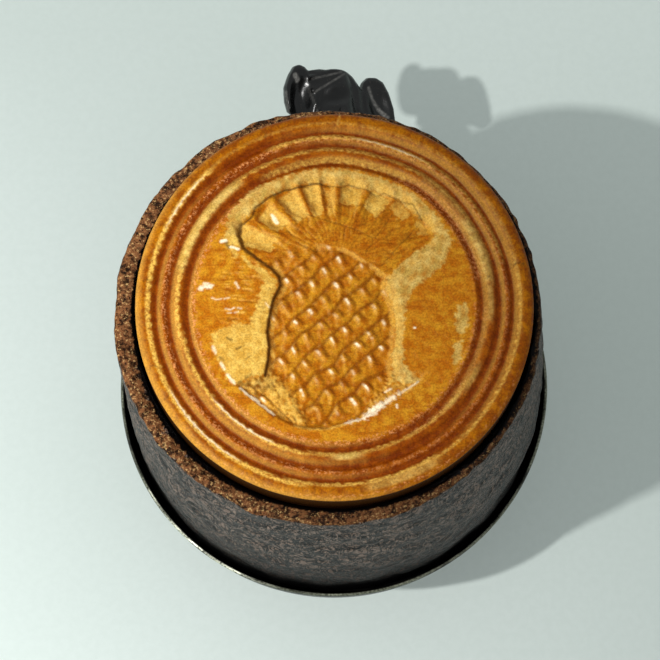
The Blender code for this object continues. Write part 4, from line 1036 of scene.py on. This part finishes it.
def lean(points):
    """The rim stands off the bore's axis, the outside is lumpy, and the mouth is worn down in places."""
    points = points.copy()
    x, y, z = points.T
    radius = np.hypot(x, y)
    outer = radius > RABBET_RADIUS - 0.1
    share = limit((z - BAND_TOP) / (CASE_TOP - BAND_TOP))
    lumps = 0.16 * ripple(points, 61, 14.0) + 0.07 * ripple(points, 62, 4.5)
    lumps += 0.07 * ripple(points, 63, 3.2) * smooth_step((z - (CASE_TOP - 3.5)) / 2.5)
    push = np.where(outer, lumps - 0.12, 0.0)
    top = smooth_step((z - (CASE_TOP - 1.0)) / 0.9)
    x += x / radius * push + outer * RIM_SHIFT[0] * share
    y += y / radius * push + outer * RIM_SHIFT[1] * share
    z += top * (0.09 * ripple(points, 64, 2.6) - 0.2)
    angle = np.degrees(np.arctan2(y, x))
    worn = sum(smooth_step(1.2 - np.abs(angle - place) / 38.0) for place in WORN_PLACES)
    z -= worn * smooth_step((BORE_RADIUS + 2.1 - radius) / 1.1) * smooth_step((z - (CASE_TOP - 1.5)) / 1.0)
    return points


def build_case():
    rim_round, foot_round = 1.4, 5.0
    flare = ((0.7, 0.35), (1.3, 0.05), (2.1, 0.0))
    profile = [(BORE_RADIUS + out, CASE_TOP - drop) for out, drop in flare]
    profile += round_corner((RIM_RADIUS - rim_round, CASE_TOP - rim_round), rim_round, 88, 0, 8)
    profile += [(CASE_RADIUS, BAND_TOP)]
    profile += round_corner((CASE_RADIUS - foot_round, CASE_BASE + foot_round), foot_round, 0, -90, 10)
    step = FLOOR_TOP + SEAT_GAP
    profile += [(RABBET_RADIUS, CASE_BASE), (RABBET_RADIUS, step), (BORE_RADIUS, step)]
    profile += [(BORE_RADIUS, CASE_TOP - 3.0), (BORE_RADIUS + 0.45, CASE_TOP - 1.0)]
    mesh = lathe("turned_case", profile, 540, fine=0.9, warp=lean)
    add_piece(mesh, "case", CASE_VARNISH, "case_barrel", sharp=50)


build_case()


# Pan


def bend(points):
    """The pan's rim is a little out of round and uneven."""
    points = points.copy()
    x, y, z = points.T
    angle = np.arctan2(y, x)
    near_rim = smooth_step((z - (PAN_TOP - 3.0)) / 3.0)
    out = near_rim * (0.11 * np.sin(2.0 * angle + 0.7) + 0.05 * np.sin(5.0 * angle + 2.0))
    scale = 1.0 + out / np.hypot(x, y)
    x *= scale
    y *= scale
    z += near_rim * 0.06 * ripple(points, 71, 7.0)
    return points


def build_pan():
    sheet, corner, lip = 0.9, 3.0, 0.3
    hole = ROD_RADIUS + 0.4
    centre = (PAN_RADIUS - 1.2 - corner, PAN_BASE + corner)
    flat = (50.0, 30.0, hole)
    outer = [(PAN_RADIUS, PAN_TOP - lip), *round_corner(centre, corner, 2, -90, 8)]
    outer += [(radius, PAN_BASE) for radius in flat]
    inner = [(radius, PAN_BASE + sheet) for radius in reversed(flat)]
    inner += [*round_corner(centre, corner - sheet, -90, 2, 8), (PAN_RADIUS - sheet, PAN_TOP - lip)]
    inner += [(PAN_RADIUS - 0.66, PAN_TOP), (PAN_RADIUS - 0.24, PAN_TOP)]
    mesh = lathe("pressed_pan", outer + inner, 480, fine=2.2, warp=bend)
    add_piece(mesh, "plunger", PAN_ENAMEL, "drip_pan", sharp=50)


build_pan()


# Handle and rod


def hand_turned(points):
    """A little out of round, as turned by hand."""
    points = points.copy()
    radius = np.hypot(points[:, 0], points[:, 1])
    points[:, :2] *= (1.0 + 0.05 * ripple(points, 81, 9.0) / np.maximum(radius, 5.0))[:, None]
    return points


def build_handle():
    head_radius, waist_radius, foot_round = ROD_RADIUS + 12.0, ROD_RADIUS + 4.5, 3.0
    waist_top, waist_foot, waist_parts = HANDLE_TOP - 10.0, HANDLE_BASE + 9.5, 16
    profile = [(0.0, HANDLE_TOP), (head_radius - 1.0, HANDLE_TOP), (head_radius - 0.3, HANDLE_TOP - 0.3)]
    profile += [(head_radius, HANDLE_TOP - 1.0), (head_radius, HANDLE_TOP - 8.8)]
    for i in range(waist_parts + 1):
        share = i / waist_parts
        end = head_radius + (HANDLE_RADIUS - head_radius) * share
        pinch = math.sin(math.pi * share) ** 0.8
        profile.append((end + (waist_radius - end) * pinch, waist_top + (waist_foot - waist_top) * share))
    profile += round_corner((HANDLE_RADIUS - foot_round, HANDLE_BASE + foot_round), foot_round, 0, -90, 8)
    profile += [(0.0, HANDLE_BASE)]
    mesh = lathe("turned_handle", profile, 160, fine=1.2, warp=hand_turned)
    add_piece(mesh, "plunger", HANDLE_WOOD, "handle_grip", sharp=50)


def build_rod():
    chamfer = 1.0
    shoulder = ROD_TOP - 7.0
    profile = [(0.0, ROD_TOP), (TENON_RADIUS - chamfer, ROD_TOP), (TENON_RADIUS, ROD_TOP - chamfer)]
    profile += [(TENON_RADIUS, shoulder), (ROD_RADIUS, shoulder), (ROD_RADIUS, ROD_BASE + chamfer)]
    profile += [(ROD_RADIUS - chamfer, ROD_BASE), (0.0, ROD_BASE)]
    mesh = lathe("turned_rod", profile, 120, fine=6.0)
    add_piece(mesh, "plunger", HANDLE_WOOD, "plunger_rod", sharp=40)


build_handle()
build_rod()


# Wing casting

WING_AXIS = 70.5
WING_TILT = math.radians(22.0)
TILT_COS, TILT_SIN = math.cos(WING_TILT), math.sin(WING_TILT)
# Outlines in the wings' plane: distance from the axis (left is negative) and along it
RIGHT_EAR = (
    (3.0, 76.2), (3.0, 84.0), (7.8, 86.2), (8.6, 89.2), (10.2, 90.9), (12.8, 91.2), (15.2, 90.0),
    (17.2, 86.6), (18.8, 81.8), (19.4, 77.4), (17.0, 75.8),
)
LEFT_EAR = (
    (-3.0, 76.2), (-3.0, 89.0), (-8.0, 89.8), (-9.6, 91.6), (-11.4, 92.2), (-13.0, 91.4), (-14.4, 88.8),
    (-15.6, 85.0), (-15.4, 80.5), (-14.4, 77.2), (-12.0, 75.8),
)
WEB = ((-9.0, 90.4), (-6.0, 91.2), (3.4, 91.4), (5.2, 90.2), (8.4, 86.2), (9.0, 78.0), (-9.0, 78.0))
HUB = (
    (0.0, 91.2), (3.6, 91.2), (4.4, 90.6), (5.2, 87.5), (5.6, 84.0), (6.2, 80.0), (6.6, 77.5), (5.5, 75.0),
    (4.4, 74.0), (0.0, 73.95),
)
# A plate's rounded section: place across it and the outline's size there
SECTION = ((-1.0, 0.74), (-0.7, 0.93), (0.0, 1.0), (0.7, 0.93), (1.0, 0.74))
RIB_RADIUS = 0.55
RIBS = (((-9.0, 87.8, 3.0), (2.6, 90.4, 3.0)), ((-8.2, 83.6, 3.1), (3.6, 89.8, 3.0)))
# Ovals in the wings' plane: centre, half sizes, slant
POCKET = ((-1.2, 82.3), (4.6, 3.2), -0.6)
SHADE_OVAL = ((-1.2, 82.3), (4.4, 3.0), -0.6)
# Finger rests and the pocket under the ribs, each with its depth
HOLLOWS = ((((-11.0, 80.5), (3.6, 7.6), 0.08), 3.0), (((13.6, 81.2), (3.6, 6.8), 0.24), 1.5), (POCKET, 1.1))
# The casting in the picture: where its foot's middle is seen, and a mm's pixels along each axis
CAST_MIDDLE = (334.0, 130.0)
CAST_FOOT = 73.6
CAST_SCALE = (3.6, -3.26, -1.1)
# Painted highlights where the casting's lobes, ribs and edges catch the lamp, in the picture's frame, with a
# half width in pixels and a strength
HIGHLIGHT_STREAKS = (
    (((294, 75), (297, 79)), 2.2, 0.75), (((371, 88), (376, 98), (383, 108), (392, 117)), 1.6, 0.40),
    (((311, 79), (342, 72)), 1.0, 0.20), (((314, 92), (345, 74)), 1.0, 0.26),
    (((284, 92), (287, 114)), 1.6, 0.25), (((305, 78), (311, 94), (318, 114)), 1.0, 0.14),
    (((383, 108), (389, 114)), 1.8, 0.60),
)


def on_wings(s, y, t):
    """A place in the part's frame in mm, from the wings' plane: s along the wings, t across them."""
    return (s * TILT_COS + t * TILT_SIN, y, WING_AXIS - s * TILT_SIN + t * TILT_COS)


def oval(s, y, centre, half, slant):
    """How far inside an oval of the wings' plane a place is, from 0 outside to 1."""
    off = s - centre[0] + slant * (y - centre[1])
    return smooth_step(1.25 - np.hypot(off / half[0], (y - centre[1]) / half[1]))


def add_plate(shape, outline, half, middle=0.0):
    """A plate of rounded section in the wings' plane."""
    mid_s, mid_y = (sum(values) / len(outline) for values in zip(*outline))
    layers = []
    for t, size in SECTION:
        layer = []
        for s, y in outline:
            place = on_wings(mid_s + (s - mid_s) * size, mid_y + (y - mid_y) * size, middle + t * half)
            layer.append(shape.verts.new([c * MM for c in place]))
        layers.append(layer)
    for low, high in zip(layers, layers[1:]):
        for i in range(len(outline)):
            shape.faces.new((low[i - 1], low[i], high[i], high[i - 1]))
    shape.faces.new(layers[0][::-1])
    shape.faces.new(layers[-1])


def add_rib(shape, start, end):
    a, b = (Vector(on_wings(*place)) * MM for place in (start, end))
    turn = (b - a).to_track_quat("Z", "Y").to_matrix().to_4x4()
    sizes = {"radius1": RIB_RADIUS * MM, "radius2": RIB_RADIUS * MM, "depth": (b - a).length}
    place = Matrix.Translation((a + b) / 2.0) @ turn
    bmesh.ops.create_cone(shape, cap_ends=True, segments=12, matrix=place, **sizes)


def rough_casting():
    """The plates, ribs and hub of the casting, passing through each other."""
    shape = bmesh.new()
    add_plate(shape, RIGHT_EAR, 2.5)
    add_plate(shape, LEFT_EAR, 2.5)
    add_plate(shape, WEB, 3.1, 0.3)
    bmesh.ops.triangulate(shape, faces=shape.faces)
    bmesh.ops.recalc_face_normals(shape, faces=shape.faces)
    for start, end in RIBS:
        add_rib(shape, start, end)
    hub = lathe("hub", HUB, 48)
    hub.transform(Matrix.Translation((0.0, 0.0, WING_AXIS * MM)) @ Matrix.Rotation(-0.5 * math.pi, 4, "X"))
    shape.from_mesh(hub)
    bpy.data.meshes.remove(hub)
    mesh = bpy.data.meshes.new("wing_rough")
    shape.to_mesh(mesh)
    shape.free()
    return mesh


def cast(rough, name):
    """One skin over a rough mesh, with softened edges."""
    mold = link("wing_rough", rough)
    skin = mold.modifiers.new("skin", "REMESH")
    skin.mode = "VOXEL"
    skin.voxel_size = 0.32 * MM
    soft = mold.modifiers.new("soft", "SMOOTH")
    soft.factor = 0.5
    soft.iterations = 7
    mesh = bpy.data.meshes.new_from_object(mold.evaluated_get(bpy.context.evaluated_depsgraph_get()))
    bpy.data.objects.remove(mold)
    bpy.data.meshes.remove(rough)
    mesh.name = name
    return mesh


def build_wings():
    mesh = cast(rough_casting(), "wing_casting")
    points = np.empty(len(mesh.vertices) * 3)
    mesh.vertices.foreach_get("co", points)
    points = points.reshape(-1, 3)
    x, y, z = points.T / MM
    z -= WING_AXIS
    s, t = x * TILT_COS - z * TILT_SIN, x * TILT_SIN + z * TILT_COS
    drop = np.maximum.reduce([depth * oval(s, y, *place) for place, depth in HOLLOWS])
    drop *= smooth_step((t - 0.2) / 1.2)
    points[:, 0] -= drop * TILT_SIN * MM
    points[:, 2] -= drop * TILT_COS * MM
    mesh.vertices.foreach_set("co", points.ravel())

    seen_x = CAST_MIDDLE[0] + CAST_SCALE[0] * x
    seen_y = CAST_MIDDLE[1] + CAST_SCALE[1] * (y - CAST_FOOT) + CAST_SCALE[2] * z
    streaks = [
        strength * smooth_step(1.5 - line_distance(seen_x, seen_y, points_seen) / half)
        for points_seen, half, strength in HIGHLIGHT_STREAKS
    ]
    # Painted highlights, kept in the worn mask
    store(mesh, "worn", np.maximum.reduce(streaks) * (t > 0.0))
    # Painted shade in the pocket under the ribs
    store(mesh, "pocket_shade", oval(s, y, *SHADE_OVAL) * (t > 0.0))
    mesh.shade_smooth()
    add_piece(mesh, "wing_screw", CAST_PAINT, "wing_head")


build_wings()


# Finishes of the nodes that show as their own solids, by the start of their names

FINISHES = (
    (HANDLE_WOOD, ("handle_pin", "case_floor")),
    (BLACK_IRON, ("clamp_arm", "clamp_pad", "arm_rivet", "wing_pin")),
    (LEATHER, ("pad_facing", "rod_seal")),
    (BRASS, ("floor_bush", "seal_retainer", "retainer_screw")),
    (STEEL, ("screw_shank", "floor_brad", "pan_screw")),
)
for node_name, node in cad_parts.items():
    for finish, starts in FINISHES:
        if node_name.startswith(starts):
            node.data.materials.clear()
            node.data.materials.append(finish)


# Floor, light and camera

TABLE_HALF = 3.0
KEY_PLACE = (-0.46, -0.245, 1.02)
KEY_POWER = 26.0
KEY_SIZE = 0.014
KEY_COLOUR = (1.0, 0.99, 0.97)
SKY_COLOUR = (0.955, 1.0, 0.995, 1.0)
SKY_LEVEL = 0.66
# The camera, fitted on the photograph's outlines
CAMERA_PLACE = (-0.00112, -0.16423, 0.80559)
CAMERA_TILT = math.radians(13.602)
CAMERA_LENS = 144.17
CAMERA_SENSOR = 36.0


def table_paper():
    """Pale paper, with painted light that makes it a little lighter towards the lamp."""
    n = Nodes("table_paper")
    x, y, z = n.axes()
    colour = n.mix(n.ramp(n.noise(5.0, 2.0, 0.5), 0.3, 0.7), (210, 221, 216), (215, 225, 221))
    colour = n.mix(n.ramp(n.noise(420.0, 3.0, 0.6), 0.3, 0.7, 0.0, 0.25), colour, (202, 213, 208))
    # Painted light: the paper's level falls away from the lamp
    x = n.math("MAXIMUM", n.math("MINIMUM", x, 0.13), -0.13)
    y = n.math("MAXIMUM", n.math("MINIMUM", n.math("SUBTRACT", y, 0.03), 0.10), -0.10)
    level = n.plus(n.times(x, -1.08), n.times(y, -0.55), n.times(x, y, 8.7), 0.945)
    return n.finish(n.gain(colour, level), 0.9, specular=0.1)


def build_table():
    corners = [(-1, -1, 0), (1, -1, 0), (1, 1, 0), (-1, 1, 0)]
    mesh = bpy.data.meshes.new("table")
    mesh.from_pydata([[TABLE_HALF * c for c in corner] for corner in corners], [], [(0, 1, 2, 3)])
    mesh.materials.append(table_paper())
    link("table", mesh)


def light_scene():
    lamp = bpy.data.lights.new("key_lamp", "POINT")
    lamp.energy = KEY_POWER
    lamp.shadow_soft_size = KEY_SIZE
    lamp.color = KEY_COLOUR
    link("key_lamp", lamp).location = KEY_PLACE
    world = bpy.data.worlds.new("room")
    world.use_nodes = True
    sky = world.node_tree.nodes["Background"]
    sky.inputs["Color"].default_value = SKY_COLOUR
    sky.inputs["Strength"].default_value = SKY_LEVEL
    bpy.context.scene.world = world


def place_camera():
    lens = bpy.data.cameras.new("camera")
    lens.sensor_width = CAMERA_SENSOR
    lens.lens = CAMERA_LENS
    camera = link("camera", lens)
    camera.location = CAMERA_PLACE
    camera.rotation_euler = (CAMERA_TILT, 0.0, 0.0)
    bpy.context.scene.camera = camera


build_table()
light_scene()
place_camera()
bpy.context.scene.view_settings.view_transform = "Standard"
